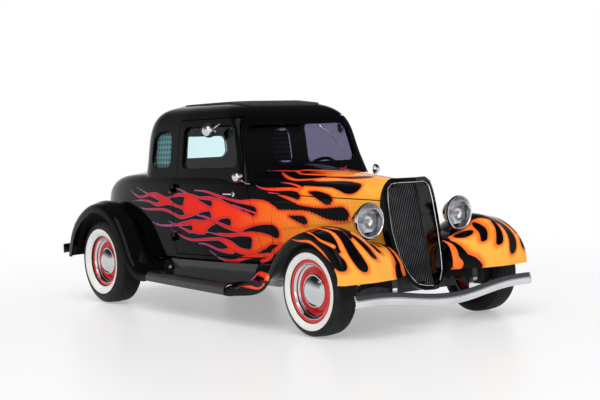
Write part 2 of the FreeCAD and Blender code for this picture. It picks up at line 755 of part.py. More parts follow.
ENGINE = box((cell.cowl_front + 110, -200, 360.3), 560, 400, 480)
keep(group("engine_block", [ENGINE]), "engine_block")

# Front axle: a dropped beam with an eye and a fixed kingpin at each end.
BEAM_TOP = 256
EYE_RADIUS = 27
EYE_LOW = 284
EYE_HEIGHT = 40
beam = [box((cell.wheelbase / 2 - 24, -470, BEAM_TOP - 42), 48, 940, 42)]
for _, sign in SIDES:
    pin = cell.kingpin_offset * sign
    beam.append(cylinder((cell.wheelbase / 2, pin, EYE_LOW), "z", EYE_RADIUS, EYE_HEIGHT))
    beam.append(cylinder((cell.wheelbase / 2, pin, 222), "z", cell.kingpin_radius, 164))
    if sign > 0:
        beam.append(box((cell.wheelbase / 2 - 20, 430, BEAM_TOP - 40), 40, 40, 108))
        beam.append(box((cell.wheelbase / 2 - 20, 430, EYE_LOW), 40, cell.kingpin_offset - 430, EYE_HEIGHT))
    else:
        beam.append(box((cell.wheelbase / 2 - 20, -470, BEAM_TOP - 40), 40, 40, 108))
        beam.append(box((cell.wheelbase / 2 - 20, pin, EYE_LOW), 40, cell.kingpin_offset - 430, EYE_HEIGHT))
keep(fuse("front_axle", beam), "front_axle")

springLeaf = prism([(Vector(frontAxle - 25, y, z), 0) for y, z in
                    ((-420, BEAM_TOP), (420, BEAM_TOP), (420, BEAM_TOP + 14), (60, 300), (-60, 300),
                     (-420, BEAM_TOP + 14))], Vector(50, 0, 0))
rearLeaf = prism([(Vector(rearAxle + x, size.frame_offset - 25, z), 0) for x, z in
                  ((-262, 470), (-262, 462), (-60, 388.2), (60, 388.2), (262, 462), (262, 470),
                   (60, 406), (-60, 406))], Vector(0, 50, 0))
piece("leaf_springs", Part.makeCompound([springLeaf, rearLeaf, mirrored(rearLeaf)]))

REAR_HUB = cell.rear_wheel_offset - 84
rearParts = [cylinder((-cell.wheelbase / 2, -REAR_HUB, cell.rear_tyre_radius), "y", 38, REAR_HUB * 2),
             primitive("Sphere", (-cell.wheelbase / 2, 0, cell.rear_tyre_radius), Radius=118)]
for _, sign in SIDES:
    low = REAR_HUB - 4 if sign > 0 else -(REAR_HUB + 54)
    rearParts.append(cylinder((-cell.wheelbase / 2, low, cell.rear_tyre_radius), "y", 132, 58))
    low = REAR_HUB if sign > 0 else -(REAR_HUB + 134)
    rearParts.append(cylinder((-cell.wheelbase / 2, low, cell.rear_tyre_radius), "y", 24, 134))
keep(fuse("rear_axle", rearParts), "rear_axle")

pipes = []
for _, sign in SIDES:
    y = cell.frame_offset * sign * 0.62
    pipes.append(cylinder((-2020, y, 269.5), "x", 30, 2980))
    pipes.append(cylinder((-260, y, 262), "x", 68, 560))
    pipes.append(cylinder((960, y, 262), "z", 30, 150))
keep(fuse("exhaust_pipes", pipes), "exhaust_pipes")

keep(group("fuel_tank", [box((-2009.7, -348.7, 306), 180, 697.4, 97.7)]), "fuel_tank")

# ---------------------------------------------------------------- knuckles and wheels
for name, sign in SIDES:
    pin = cell.kingpin_offset * sign
    drum = cell.front_wheel_offset * sign
    x = cell.wheelbase / 2
    z = cell.front_tyre_radius
    parts = []
    for low in (EYE_LOW - 48, EYE_LOW + EYE_HEIGHT + 6):
        parts.append(cylinder((x, pin, low), "z", EYE_RADIUS, 42))
        start = pin if sign > 0 else pin - 54
        parts.append(box((x - 20, start, low), 40, 54, 42))
    web = pin + 34 if sign > 0 else pin - 54
    parts.append(box((x - 20, web, EYE_LOW - 48), 40, 20, 136))
    backing = drum - 76 if sign > 0 else drum + 16
    parts.append(cylinder((x, backing, z), "y", 130, 60))
    inner = pin + 40 if sign > 0 else drum - 50
    parts.append(cylinder((x, inner, z), "y", 24, cell.front_wheel_offset - cell.kingpin_offset + 10))
    parts.append(box((x - cell.steer_arm_length - 16, pin - 12, EYE_LOW - 48), cell.steer_arm_length + 6, 24, 16))
    body = fuse(f"knuckle_{name}_blank", parts)
    bore = cylinder((x, pin, 200), "z", cell.kingpin_radius + cell.kingpin_clearance, 240)
    eye = cylinder((x - cell.steer_arm_length, pin, 200), "z", 8.3, 100)
    keep(cut(f"knuckle_{name}", body, fuse("bores", [bore, eye])), f"knuckle_{name}")

rodEnds = [cylinder((cell.wheelbase / 2 - cell.steer_arm_length, -(cell.kingpin_offset + 12), 264), "y", 11,
                    (cell.kingpin_offset + 12) * 2)]
for _, sign in SIDES:
    rodEnds.append(cylinder((cell.wheelbase / 2 - cell.steer_arm_length, cell.kingpin_offset * sign, 238),
                            "z", 8, 24))
keep(fuse("tie_rod", rodEnds), "tie_rod")


def tyreProfile(radius, width):
    """Half-round sidewalls from the beads to the shoulders, and a slightly crowned tread."""
    bead = cell.rim_width / 2 - 4
    bulge = (radius - cell.rim_radius) * 0.65
    return [(-bead, cell.rim_radius - 12, 0), (-bead, cell.rim_radius + 3, bulge),
            (-(width / 2 - 13), radius - 12, 24), (-(width / 2 - 30), radius - 2, 1400),
            (width / 2 - 30, radius - 2, 24), (width / 2 - 13, radius - 12, bulge),
            (bead, cell.rim_radius + 3, 0), (bead, cell.rim_radius - 12, 0)]


def rimProfile():
    """The rim, its dished centre and the hub with its domed cap and bearing bore."""
    edge = cell.rim_width / 2
    ring = cell.rim_radius
    return [(-edge, ring, 0), (-edge + 3.7, ring, 0), (-edge + 3.7, ring - 12.3, 0),
            (edge - 3.7, ring - 12.3, 0), (edge - 3.7, ring, 0), (edge, ring, 0),
            (edge, ring - 18, 0), (edge - 14, ring - 26, 0), (34, ring - 44, 0), (22, ring - 62, 0),
            (40, 112, 0), (36, 92, 0), (60, 78, 0), (84, 44, 0), (90, 0.0, 0),
            (56, 0.0, 0), (56, 24.05, 0), (-10, 24.05, 0), (-10, 62, 0), (16, 100, 0),
            (2, ring - 58, 0), (4, ring - 26, 0), (-edge, ring - 22, 0)]


def flip(profile):
    """A profile for the car's right side, where outward is towards -Y."""
    return [(-along, radius, -arc)
            for along, radius, arc in profile]


# Wheels. Columns: name, side, x, centre's offset, tyre radius and width.
WHEELS = [("front", cell.wheelbase / 2, cell.front_wheel_offset, cell.front_tyre_radius, cell.front_tyre_width),
          ("rear", -cell.wheelbase / 2, cell.rear_wheel_offset, cell.rear_tyre_radius, cell.rear_tyre_width)]
for end, x, offset, radius, width in WHEELS:
    for name, sign in SIDES:
        profile = tyreProfile(radius, width)
        placed(turned(f"tyre_{end}_{name}", profile), x, offset * sign, radius)
        rim = rimProfile()
        placed(turned(f"wheel_{end}_{name}", rim if sign > 0 else flip(rim)), x, offset * sign, radius)

# ---------------------------------------------------------------- lamps, bumpers and trim
LAMP_FRONT = 1584
radius = cell.headlamp_radius


def lampProfile():
    """A headlamp bucket about its own axis, from its tail to its ring."""
    return [(-160, 0.0, 0), (-160, 14, 0), (-148, 34, 0), (-90, radius - 40, 0), (-30, radius - 12, 0), (-24, radius, 0),
            (0, radius, 0), (0, radius - 10, 0), (-8, radius - 10, 0), (-8, 0.0, 0)]


lampBodies = []
for name, sign in SIDES:
    bucket = turned(f"bucket_{name}", lampProfile())
    bucket.Placement.Rotation = Rotation(Vector(0, 0, 1), -90)
    for axis, measure in zip("xyz", (LAMP_FRONT, cell.headlamp_offset * sign, cell.headlamp_height)):
        bucket.setExpression(f"Placement.Base.{axis}", formula(measure))
    lampBodies.append(bucket)
doc.recompute()
POST_RADIUS = 20
postX, postY = LAMP_FRONT - 62, size.headlamp_offset
postFoot = topAround(frontFender, postX, postY, POST_RADIUS) + SEAT_GAP
post = Part.makeCylinder(POST_RADIUS, size.headlamp_height - size.headlamp_radius + 65 - postFoot,
                         Vector(postX, postY, postFoot))
leftLamp = lampBodies[1].Shape.fuse(post)
piece("headlamps", Part.makeCompound([mirrored(leftLamp), leftLamp]))
keep(bothSides("headlamp_lenses", lambda sign: cylinder(
    (LAMP_FRONT - 7.7, cell.headlamp_offset * sign, cell.headlamp_height), "x", radius - 10.3, 9)), "headlamp_lenses")

# The front bumper's blade. Columns: y, front face x, centre height.
FRONT_BUMPER = [(-1, 1872, 262), (-0.9, 1876, 263), (-0.62, 1884, 256), (-0.3, 1894, 222), (0, 1900, 205),
                (0.3, 1894, 222), (0.62, 1884, 256), (0.9, 1876, 263), (1, 1872, 262)]
REAR_BUMPER = [(-1, -2112, 428), (-0.9, -2140, 430), (-0.5, -2158, 430), (0, -2162, 430),
               (0.5, -2158, 430), (0.9, -2140, 430), (1, -2112, 430)]
BLADE = 16


def blade(table, reach, outward):
    """A bumper's blade, lofted from end to end, its outer face outward along X."""
    sections = []
    half = size.bumper_height / 2
    for share, x, z in table:
        y = share * size.bumper_half_width
        x += reach
        corners = [(x, z - half + 8, 6), (x, z + half - 8, 6), (x - outward * 8, z + half, 4),
                   (x - outward * BLADE, z + half - 4, 3), (x - outward * BLADE, z - half + 4, 3),
                   (x - outward * 8, z - half, 4)]
        sections.append([(Vector(a, y, b), r) for a, b, r in corners])
    return loft(sections)


frontBlade = blade(FRONT_BUMPER, frontAxle + size.front_reach - 1900, 1)
rearBlade = blade(REAR_BUMPER, rearAxle - size.rear_reach + 2162, -1)
piece("front_bumper", frontBlade)
piece("rear_bumper", rearBlade)
irons = []
for _, sign in SIDES:
    y = sign * size.frame_offset
    arm = block((1710, 1880), (y - 20, y + 20), (222, 262)).fuse(block((1710, 1750), (y - 20, y + 20), (222, 300)))
    irons.append(arm.cut(frontBlade))
    arm = block((-2150, -2060), (y - 20, y + 20), (392, 404)).fuse(block((-2072, -2060), (y - 20, y + 20), (330, 404)))
    irons.append(arm.cut(rearBlade))
irons = [max(iron.Solids, key=lambda solid: solid.Volume) for iron in irons]
piece("bumper_irons", Part.makeCompound(irons))

plate = block((-2150, -2140), (-105, 105), (438, 530)).cut(rearBlade)
plate = max(plate.Solids, key=lambda solid: solid.Volume)
for y in (-89, 89):
    plate = plate.cut(Part.makeCylinder(3.5, 20, Vector(-2155, y, 512), Vector(1, 0, 0)))
piece("plate_bracket", plate)

TAIL_LAMP_X, TAIL_LAMP_Y, TAIL_LAMP_HEIGHT = -1985, 712, 628
tailFoot = topAround(rearFender, TAIL_LAMP_X + 30, TAIL_LAMP_Y, 9) + SEAT_GAP
lampStands = []
for _, sign in SIDES:
    lampStands.append(fuse("tail_lamp", [
        cylinder((TAIL_LAMP_X, TAIL_LAMP_Y * sign, TAIL_LAMP_HEIGHT), "x", 44, 56),
        cylinder((TAIL_LAMP_X + 30, TAIL_LAMP_Y * sign, tailFoot), "z", 9, TAIL_LAMP_HEIGHT - 20 - tailFoot)]))
keep(group("tail_lamps", lampStands), "tail_lamps")

# ---------------------------------------------------------------- inside the cab
cabFloor = BODY_BOTTOM + size.wall
seatHalf = size.seat_width / 2
seat = prism([(Vector(-40, -seatHalf, cabFloor), 20), (Vector(-20, -seatHalf, 640), 70),
              (Vector(-80, -seatHalf, 700), 60), (Vector(-500, -seatHalf, 672), 60),
              (Vector(-size.seat_back - 40, -seatHalf, 1060), 50),
              (Vector(-size.seat_back - 170, -seatHalf, 1050), 50),
              (Vector(-size.seat_back - 60, -seatHalf, cabFloor), 20)], Vector(0, size.seat_width, 0))
piece("bench_seat", seat)
dash = block((296, 420), (-700, 700), (950, 1062)).common(lowerBody(size.wall + 0.2))
piece("dashboard", dash.cut(doorSweep(12)).cut(mirrored(doorSweep(12))))

wheelHub = Vector(96, size.driver_offset, 992)
firewall = Vector(size.cowl_front - size.wall - 0.3, size.driver_offset, 676)
along = (firewall - wheelHub).normalize()
columnStart = wheelHub + along * 40
column = fused([rod(columnStart, firewall - along * 16, 20),
                block((330, 350), (size.driver_offset - 14, size.driver_offset + 14), (830, 950))])
piece("steering_column", column)
ring = Part.makeTorus(size.steering_wheel_radius - 13, 13, wheelHub, along)
spokes = [rod(wheelHub, wheelHub + Rotation(along, angle).multVec(
    Vector(0, 1, 0)) * (size.steering_wheel_radius - 13), 8) for angle in (0, 120, 240)]
piece("steering_wheel", fused([ring, rod(wheelHub - along * 14, wheelHub + along * 39.5, 30)] + spokes))

# ---------------------------------------------------------------- check and export
doc.recompute()
for feature in doc.Objects:
    for state in ("Invalid", "Error"):
        if state in feature.State:
            raise RuntimeError(f"{feature.Label} is {state}")
os.makedirs("parts", exist_ok=True)
for feature in made:
    if feature.Shape.isNull() or not feature.Shape.isValid():
        raise RuntimeError(f"{feature.Label} has no valid shape")
    feature.Shape.exportStep(f"parts/{feature.Label}.step")
    box_ = feature.Shape.BoundBox
    print(f"{feature.Label:22s} solids {len(feature.Shape.Solids)} volume {feature.Shape.Volume / 1e6:8.2f} "
          f"x {box_.XMin:.0f}..{box_.XMax:.0f} y {box_.YMin:.0f}..{box_.YMax:.0f} z {box_.ZMin:.0f}..{box_.ZMax:.0f}")
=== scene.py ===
import bpy
import bmesh
import math
import numpy as np
from mathutils import Matrix, Vector
from mathutils.bvhtree import BVHTree


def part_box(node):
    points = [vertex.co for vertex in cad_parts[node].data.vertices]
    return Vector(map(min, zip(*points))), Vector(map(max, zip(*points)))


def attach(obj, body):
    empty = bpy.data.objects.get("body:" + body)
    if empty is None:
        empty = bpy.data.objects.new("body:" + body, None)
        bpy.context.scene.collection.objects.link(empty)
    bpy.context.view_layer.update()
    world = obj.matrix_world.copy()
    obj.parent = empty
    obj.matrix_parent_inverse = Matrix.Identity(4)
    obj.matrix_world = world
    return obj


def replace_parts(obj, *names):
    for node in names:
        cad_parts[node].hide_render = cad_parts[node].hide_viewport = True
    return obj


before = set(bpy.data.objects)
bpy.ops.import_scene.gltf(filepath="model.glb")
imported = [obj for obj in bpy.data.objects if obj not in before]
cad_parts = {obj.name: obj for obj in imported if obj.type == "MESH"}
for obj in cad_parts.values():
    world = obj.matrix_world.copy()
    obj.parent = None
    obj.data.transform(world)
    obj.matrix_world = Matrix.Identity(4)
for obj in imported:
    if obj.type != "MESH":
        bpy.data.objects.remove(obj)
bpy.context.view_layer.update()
for leftover in ("Cube", "Light", "Camera"):
    if leftover in bpy.data.objects:
        bpy.data.objects.remove(bpy.data.objects[leftover])
link = bpy.context.scene.collection.objects.link
alongX, alongY = Vector((1, 0, 0)), Vector((0, 1, 0))
sides = (("right", -1), ("left", 1))
print("frame loaded")

# The camera, with its pitch downwards.
cameraView = {
    "place": (7.9025, -5.7479, 1.2782),
    "yaw": 0.9162,
    "pitch": 0.0466,
    "roll": -0.0394,
    "lens": 74.15,
    "sensor": 36.0,
    "farthest": 200.0,
}
camera = bpy.data.objects.new("camera", bpy.data.cameras.new("camera"))
camera.data.lens = cameraView["lens"]
camera.data.sensor_width = cameraView["sensor"]
camera.data.clip_end = cameraView["farthest"]
camera.matrix_world = (Matrix.Translation(cameraView["place"]) @ Matrix.Rotation(cameraView["yaw"], 4, "Z")
                       @ Matrix.Rotation(math.pi / 2 - cameraView["pitch"], 4, "X")
                       @ Matrix.Rotation(cameraView["roll"], 4, "Z"))
link(camera)
bpy.context.scene.camera = camera


# Helpers for materials. They work on the world's nodes too.
def addNode(material, kind, inputs=None, **settings):
    node = material.node_tree.nodes.new("ShaderNode" + kind)
    for setting, value in settings.items():
        setattr(node, setting, value)
    for socket, value in (inputs or {}).items():
        if isinstance(value, bpy.types.NodeSocket):
            material.node_tree.links.new(value, node.inputs[socket])
        else:
            node.inputs[socket].default_value = value
    return node


def shaderSocket(material, socket):
    return material.node_tree.nodes["Principled BSDF"].inputs[socket]


def toShader(material, socket, value):
    material.node_tree.links.new(value, shaderSocket(material, socket))


def baseColour(material):
    return shaderSocket(material, "Base Color").links[0].from_socket


def objectPlace(material):
    return addNode(material, "TexCoord").outputs["Object"]


def alongAxis(material, axis, vector=None):
    return addNode(material, "SeparateXYZ", {"Vector": vector or objectPlace(material)}).outputs[axis]


def grain(material, scale, detail=3.0):
    noise = addNode(material, "TexNoise", {"Vector": objectPlace(material), "Scale": scale, "Detail": detail})
    return noise.outputs["Fac"]


def cells(material, scale, **settings):
    voronoi = addNode(material, "TexVoronoi", {"Vector": objectPlace(material), "Scale": scale}, **settings)
    return voronoi.outputs["Distance"]


def addBump(material, height, strength, distance):
    bump = addNode(material, "Bump", {"Height": height, "Strength": strength, "Distance": distance})
    toShader(material, "Normal", bump.outputs["Normal"])


def stretched(material, value, low, high, newLow=0.0, newHigh=1.0, smooth=False):
    ends = {"Value": value, "From Min": low, "From Max": high, "To Min": newLow, "To Max": newHigh}
    kind = "SMOOTHSTEP" if smooth else "LINEAR"
    return addNode(material, "MapRange", ends, interpolation_type=kind).outputs["Result"]


def blended(material, factor, first, second):
    mix = addNode(material, "Mix", {0: factor}, data_type="RGBA")
    for socket, value in ((6, first), (7, second)):
        if isinstance(value, bpy.types.NodeSocket):
            material.node_tree.links.new(value, mix.inputs[socket])
        else:
            mix.inputs[socket].default_value = (*value, 1.0)
    return mix.outputs[2]


def reckoned(material, operation, first, second=0.0):
    return addNode(material, "Math", {0: first, 1: second}, operation=operation).outputs[0]


def wave(material, axis, pitch, operation="SINE"):
    turns = reckoned(material, "MULTIPLY", alongAxis(material, axis), 2 * math.pi / pitch)
    return reckoned(material, operation, turns)


def colourRamp(material, factor, stops):
    ramp = addNode(material, "ValToRGB", {"Fac": factor})
    band = ramp.color_ramp
    while len(band.elements) < len(stops):
        band.elements.new(0.5)
    for element, (position, colour) in zip(band.elements, stops):
        element.position = position
        element.color = (*colour, 1.0)
    return ramp.outputs["Color"]


def watchedRays(material):
    # 1 for a ray from the camera, off a mirror or through glass
    rays = addNode(material, "LightPath")
    watched = reckoned(material, "MAXIMUM", rays.outputs["Is Camera Ray"], rays.outputs["Is Glossy Ray"])
    return reckoned(material, "MAXIMUM", watched, rays.outputs["Is Transmission Ray"])


def startMaterial(name, colour, roughness, metallic=0.0, **sockets):
    material = bpy.data.materials.new(name)
    material.use_nodes = True
    shaderSocket(material, "Base Color").default_value = (*colour, 1.0)
    shaderSocket(material, "Roughness").default_value = roughness
    shaderSocket(material, "Metallic").default_value = metallic
    for socket, value in sockets.items():
        shaderSocket(material, socket.replace("_", " ")).default_value = value
    return material


def varied(material, socket, spread, low, high):
    # a number that drifts over the surface
    toShader(material, socket, stretched(material, spread, 0.3, 0.7, low, high))


def mottled(material, patches, darker, lighter, polish):
    # colour and polish that vary gently, the polish in patches a third as wide
    spread = stretched(material, grain(material, patches), 0.3, 0.7)
    toShader(material, "Base Color", blended(material, spread, darker, lighter))
    varied(material, "Roughness", grain(material, patches * 3), *polish)


def finish(name, colour, roughness, patches, darker, lighter, polish, bump=None, metallic=0.0, **sockets):
    # bump: (the grain's scale, its detail, strength, depth)
    material = startMaterial(name, colour, roughness, metallic, **sockets)
    mottled(material, patches, darker, lighter, polish)
    if bump:
        addBump(material, grain(material, *bump[:2]), *bump[2:])
    return material


# Finishes.
finishes = {
    "black": (0.0022, 0.0022, 0.0026),
    "blackSheen": 0.055,
    "blackSpecular": 0.07,
    "paintBump": (240.0, 3.0, 0.04, 0.0004),
    "chrome": (0.62, 0.63, 0.65),
    "bumperChrome": (0.72, 0.73, 0.75),
    # the colour of chrome's painted reflection of a dark ceiling
    "paintedCeilingReflection": (0.1, 0.105, 0.12),
    "tint": (0.8, 0.93, 0.95),
    # the windscreen's painted shade, for the dark cab seen through it
    "windscreenPaintedShade": (0.17, 0.14, 0.22),
    "lampGlass": (0.97, 0.98, 1.0),
    "glassIndex": 1.2,
    # painted shade on a wheel's inner side: black up to this distance from the centre line, gone by the next
    "innerShadeTo": 0.69,
    "innerShadeFadeEnd": 0.694,
    "boardRib": 0.018,
    "lampFlute": 0.011,
}

blackPaint = finish("black paint", finishes["black"], finishes["blackSheen"], patches=2.5,
                    darker=finishes["black"], lighter=(0.003, 0.003, 0.0036), polish=(0.04, 0.075),
                    bump=finishes["paintBump"], Specular_IOR_Level=finishes["blackSpecular"])


def chromeMaterial(name, lighter, leanLow, leanHigh):
    # chrome with a painted reflection of a dark ceiling: its colour darkens where a face leans back towards
    # the ceiling
    darker = [0.88 * c for c in lighter]
    material = finish(name, lighter, 0.06, patches=6.0, darker=darker, lighter=lighter, polish=(0.03, 0.08),
                      bump=(60.0, 3.0, 0.03, 0.0006), metallic=1.0)
    bright = baseColour(material)
    upwards = alongAxis(material, "Z", addNode(material, "NewGeometry").outputs["Normal"])
    # painted reflection: the share of the dark ceiling's colour, growing as the face leans back
    paintedReflectionShare = stretched(material, upwards, leanLow, leanHigh, smooth=True)
    toShader(material, "Base Color", blended(material, paintedReflectionShare, bright, finishes["paintedCeilingReflection"]))
    return material


chrome = chromeMaterial("chrome", finishes["chrome"], 0.1, 0.65)
bumperChrome = chromeMaterial("bumper chrome", finishes["bumperChrome"], 0.12, 0.3)
finish("brushed steel", (0.42, 0.42, 0.43), 0.3, patches=9.0, darker=(0.34, 0.34, 0.35),
       lighter=(0.46, 0.46, 0.47), polish=(0.24, 0.42), bump=(300.0, 6.0, 0.15, 0.0006), metallic=1.0)
finish("chassis paint", (0.012, 0.012, 0.013), 0.35, patches=14.0, darker=(0.01, 0.01, 0.011),
       lighter=(0.022, 0.021, 0.02), polish=(0.28, 0.5), bump=(90.0, 5.0, 0.2, 0.001))
finish("cast iron", (0.05, 0.05, 0.055), 0.6, patches=18.0, darker=(0.035, 0.035, 0.04),
       lighter=(0.075, 0.07, 0.07), polish=(0.5, 0.75), bump=(160.0, 8.0, 0.5, 0.0015), metallic=0.4)
finish("dark plastic", (0.012, 0.012, 0.013), 0.25, patches=12.0, darker=(0.009, 0.009, 0.01),
       lighter=(0.016, 0.016, 0.017), polish=(0.18, 0.34), bump=(260.0, 3.0, 0.1, 0.0005))

# A wheel is red, with painted shade on its inner side: the side that faces in under the car is black.
wheelRed = finish("wheel red", (0.62, 0.012, 0.008), 0.1, patches=5.0, darker=(0.56, 0.01, 0.007),
                  lighter=(0.68, 0.016, 0.01), polish=(0.07, 0.14), bump=(220.0, 3.0, 0.04, 0.0004))
fromMiddle = reckoned(wheelRed, "ABSOLUTE", alongAxis(wheelRed, "Y"))
# painted shade: 0 on the wheel's inner side, which turns it black, 1 on its outer side
outside = stretched(wheelRed, fromMiddle, finishes["innerShadeTo"], finishes["innerShadeFadeEnd"])
toShader(wheelRed, "Base Color", blended(wheelRed, outside, finishes["black"], baseColour(wheelRed)))

tyreRubber = finish("tyre rubber", (0.007, 0.007, 0.0075), 0.5, patches=20.0, darker=(0.005, 0.005, 0.0055),
                    lighter=(0.011, 0.0105, 0.0105), polish=(0.42, 0.62), bump=(420.0, 6.0, 0.3, 0.0008),
                    Specular_IOR_Level=0.2)
whiteRubber = finish("white rubber", (0.8, 0.79, 0.75), 0.45, patches=12.0, darker=(0.74, 0.73, 0.69),
                     lighter=(0.84, 0.83, 0.8), polish=(0.38, 0.55), bump=(300.0, 5.0, 0.15, 0.0006))
roofVinyl = finish("roof vinyl", (0.012, 0.012, 0.012), 0.62, patches=8.0, darker=(0.01, 0.01, 0.01),
                   lighter=(0.018, 0.018, 0.018), polish=(0.55, 0.7))
addBump(roofVinyl, cells(roofVinyl, 420.0), 0.4, 0.001)
leather = finish("red leather", (0.33, 0.012, 0.012), 0.42, patches=7.0, darker=(0.27, 0.01, 0.01),
                 lighter=(0.39, 0.016, 0.015), polish=(0.36, 0.52))
creases = cells(leather, 260.0, feature="DISTANCE_TO_EDGE")
addBump(leather, stretched(leather, creases, 0.0, 0.12), 0.35, 0.0012)
boardRubber = finish("running board", finishes["black"], 0.2, patches=10.0, darker=(0.004, 0.004, 0.004),
                     lighter=(0.01, 0.01, 0.01), polish=(0.08, 0.16))
addBump(boardRubber, wave(boardRubber, "Y", finishes["boardRib"]), 0.25, 0.0012)
grilleBlack = finish("grille black", (0.002, 0.002, 0.002), 0.4, patches=30.0,
                     darker=(0.0015, 0.0015, 0.0015), lighter=(0.003, 0.003, 0.003), polish=(0.35, 0.5),
                     bump=(200.0, 3.0, 0.15, 0.0008), Specular_IOR_Level=0.05)
grilleBars = finish("grille bars", (0.1, 0.1, 0.11), 0.12, patches=12.0, darker=(0.07, 0.07, 0.08),
                    lighter=(0.13, 0.13, 0.14), polish=(0.08, 0.16), bump=(150.0, 3.0, 0.05, 0.0005),
                    metallic=1.0)


def glassMaterial(name, colour, rippleScale, ripple):
    material = startMaterial(name, colour, 0.0, Transmission_Weight=1.0, IOR=finishes["glassIndex"])
    lighter = tuple(min(1.0, c * 1.04) for c in colour)
    spread = stretched(material, grain(material, 3.0), 0.3, 0.7)
    toShader(material, "Base Color", blended(material, spread, colour, lighter))
    varied(material, "Roughness", grain(material, 9.0), 0.0, 0.01)
    addBump(material, grain(material, rippleScale), ripple, 0.0005)
    return material


glassMaterial("window glass", finishes["tint"], 4.0, 0.03)
glassMaterial("lamp glass", finishes["lampGlass"], 8.0, 0.05)
cabGlass = glassMaterial("cab glass", finishes["tint"], 4.0, 0.03)
# painted shade: the glass at the front, the windscreen, is darkened for the dark cab seen through it
forward = stretched(cabGlass, alongAxis(cabGlass, "X"), 0.0, 0.1)
shadedWindscreen = blended(cabGlass, forward, baseColour(cabGlass), finishes["windscreenPaintedShade"])
toShader(cabGlass, "Base Color", shadedWindscreen)
mirror = finish("reflector", (0.86, 0.87, 0.88), 0.08, patches=14.0, darker=(0.66, 0.67, 0.69),
                lighter=(0.95, 0.95, 0.96), polish=(0.05, 0.16), bump=(34.0, 3.0, 0.5, 0.006), metallic=0.7)
flutedGlass = finish("fluted glass", (0.95, 0.97, 1.0), 0.02, patches=20.0, darker=(0.9, 0.93, 0.97),
                     lighter=(0.97, 0.98, 1.0), polish=(0.01, 0.05), Transmission_Weight=1.0,
                     IOR=finishes["glassIndex"])
addBump(flutedGlass, wave(flutedGlass, "Y", finishes["lampFlute"]), 0.25, 0.0015)
redGlass = finish("red glass", (0.55, 0.006, 0.006), 0.1, patches=30.0, darker=(0.42, 0.004, 0.004),
                  lighter=(0.66, 0.01, 0.008), polish=(0.06, 0.16), Coat_Weight=0.6)
addBump(redGlass, cells(redGlass, 220.0), 0.5, 0.002)

# Fire over black. The mesh carries the fire's depth and each lick's half width as attributes.
fireColours = {
    "span": (-1.1, 1.95),
    "middle": [(0.0, (0.6, 0.01, 0.006)), (0.36, (0.8, 0.018, 0.008)), (0.5, (0.88, 0.04, 0.01)),
               (0.6, (0.93, 0.14, 0.016)), (0.72, (0.96, 0.3, 0.03)), (0.86, (0.98, 0.42, 0.05)),
               (1.0, (0.98, 0.45, 0.065))],
    "edge": [(0.0, (0.5, 0.006, 0.01)), (0.45, (0.66, 0.01, 0.01)), (0.6, (0.8, 0.03, 0.008)),
             (0.75, (0.88, 0.085, 0.01)), (1.0, (0.92, 0.16, 0.018))],
    "edgeDepth": 0.032,
    "edgeBlur": 0.0005,
    "tip": (0.18, 0.06, 0.27),
    "tipWidths": (0.0075, 0.0025),
    "tipShare": 0.85,
    "stripe": (0.24, 0.13, 0.32),
    "stripeHalfWidth": 0.0007,
    "stripeFade": (0.2, 0.75, 1.0, 0.12),
}
flamePaint = startMaterial("flame paint", finishes["black"], finishes["blackSheen"],
                           Specular_IOR_Level=finishes["blackSpecular"])
flameDepth = addNode(flamePaint, "Attribute", attribute_name="fireDepth").outputs["Fac"]
lickWidth = addNode(flamePaint, "Attribute", attribute_name="lickWidth").outputs["Fac"]
alongCar = alongAxis(flamePaint, "X")
cloud = stretched(flamePaint, grain(flamePaint, 7.0), 0.0, 1.0, -0.12, 0.12)
alongFire = stretched(flamePaint, reckoned(flamePaint, "ADD", alongCar, cloud), *fireColours["span"])
inward = stretched(flamePaint, flameDepth, 0.0, fireColours["edgeDepth"], smooth=True)
fire = blended(flamePaint, inward, colourRamp(flamePaint, alongFire, fireColours["edge"]),
               colourRamp(flamePaint, alongFire, fireColours["middle"]))
tipped = stretched(flamePaint, lickWidth, *fireColours["tipWidths"], 0.0, fireColours["tipShare"])
fire = blended(flamePaint, tipped, fire, fireColours["tip"])
burning = stretched(flamePaint, flameDepth, -fireColours["edgeBlur"], fireColours["edgeBlur"], smooth=True)
painted = blended(flamePaint, burning, finishes["black"], fire)
fromEdge = reckoned(flamePaint, "ABSOLUTE", flameDepth)
halfWidth = fireColours["stripeHalfWidth"]
striped = stretched(flamePaint, fromEdge, halfWidth, 2 * halfWidth, 1.0, 0.0)
fading = stretched(flamePaint, alongCar, *fireColours["stripeFade"])
striped = reckoned(flamePaint, "MULTIPLY", striped, fading)
toShader(flamePaint, "Base Color", blended(flamePaint, striped, painted, fireColours["stripe"]))
varied(flamePaint, "Roughness", grain(flamePaint, 8.0), 0.04, 0.08)
addBump(flamePaint, grain(flamePaint, *finishes["paintBump"][:2]), *finishes["paintBump"][2:])

# A perforated screen: round holes in a teal sheet.
screenDots = {"pitch": 0.04, "hole": -0.35, "edge": 0.15, "sheet": (0.055, 0.3, 0.3),
              "dark": (0.006, 0.01, 0.012)}
dotted = startMaterial("dotted screen", screenDots["sheet"], 0.5)
waves = [wave(dotted, axis, screenDots["pitch"], "COSINE") for axis in ("X", "Z")]
hole = screenDots["hole"]
inHole = stretched(dotted, reckoned(dotted, "ADD", *waves), hole, hole + screenDots["edge"])
toShader(dotted, "Base Color", blended(dotted, inHole, screenDots["dark"], screenDots["sheet"]))
varied(dotted, "Roughness", grain(dotted, 60.0), 0.4, 0.6)
addBump(dotted, inHole, 0.5, 0.001)

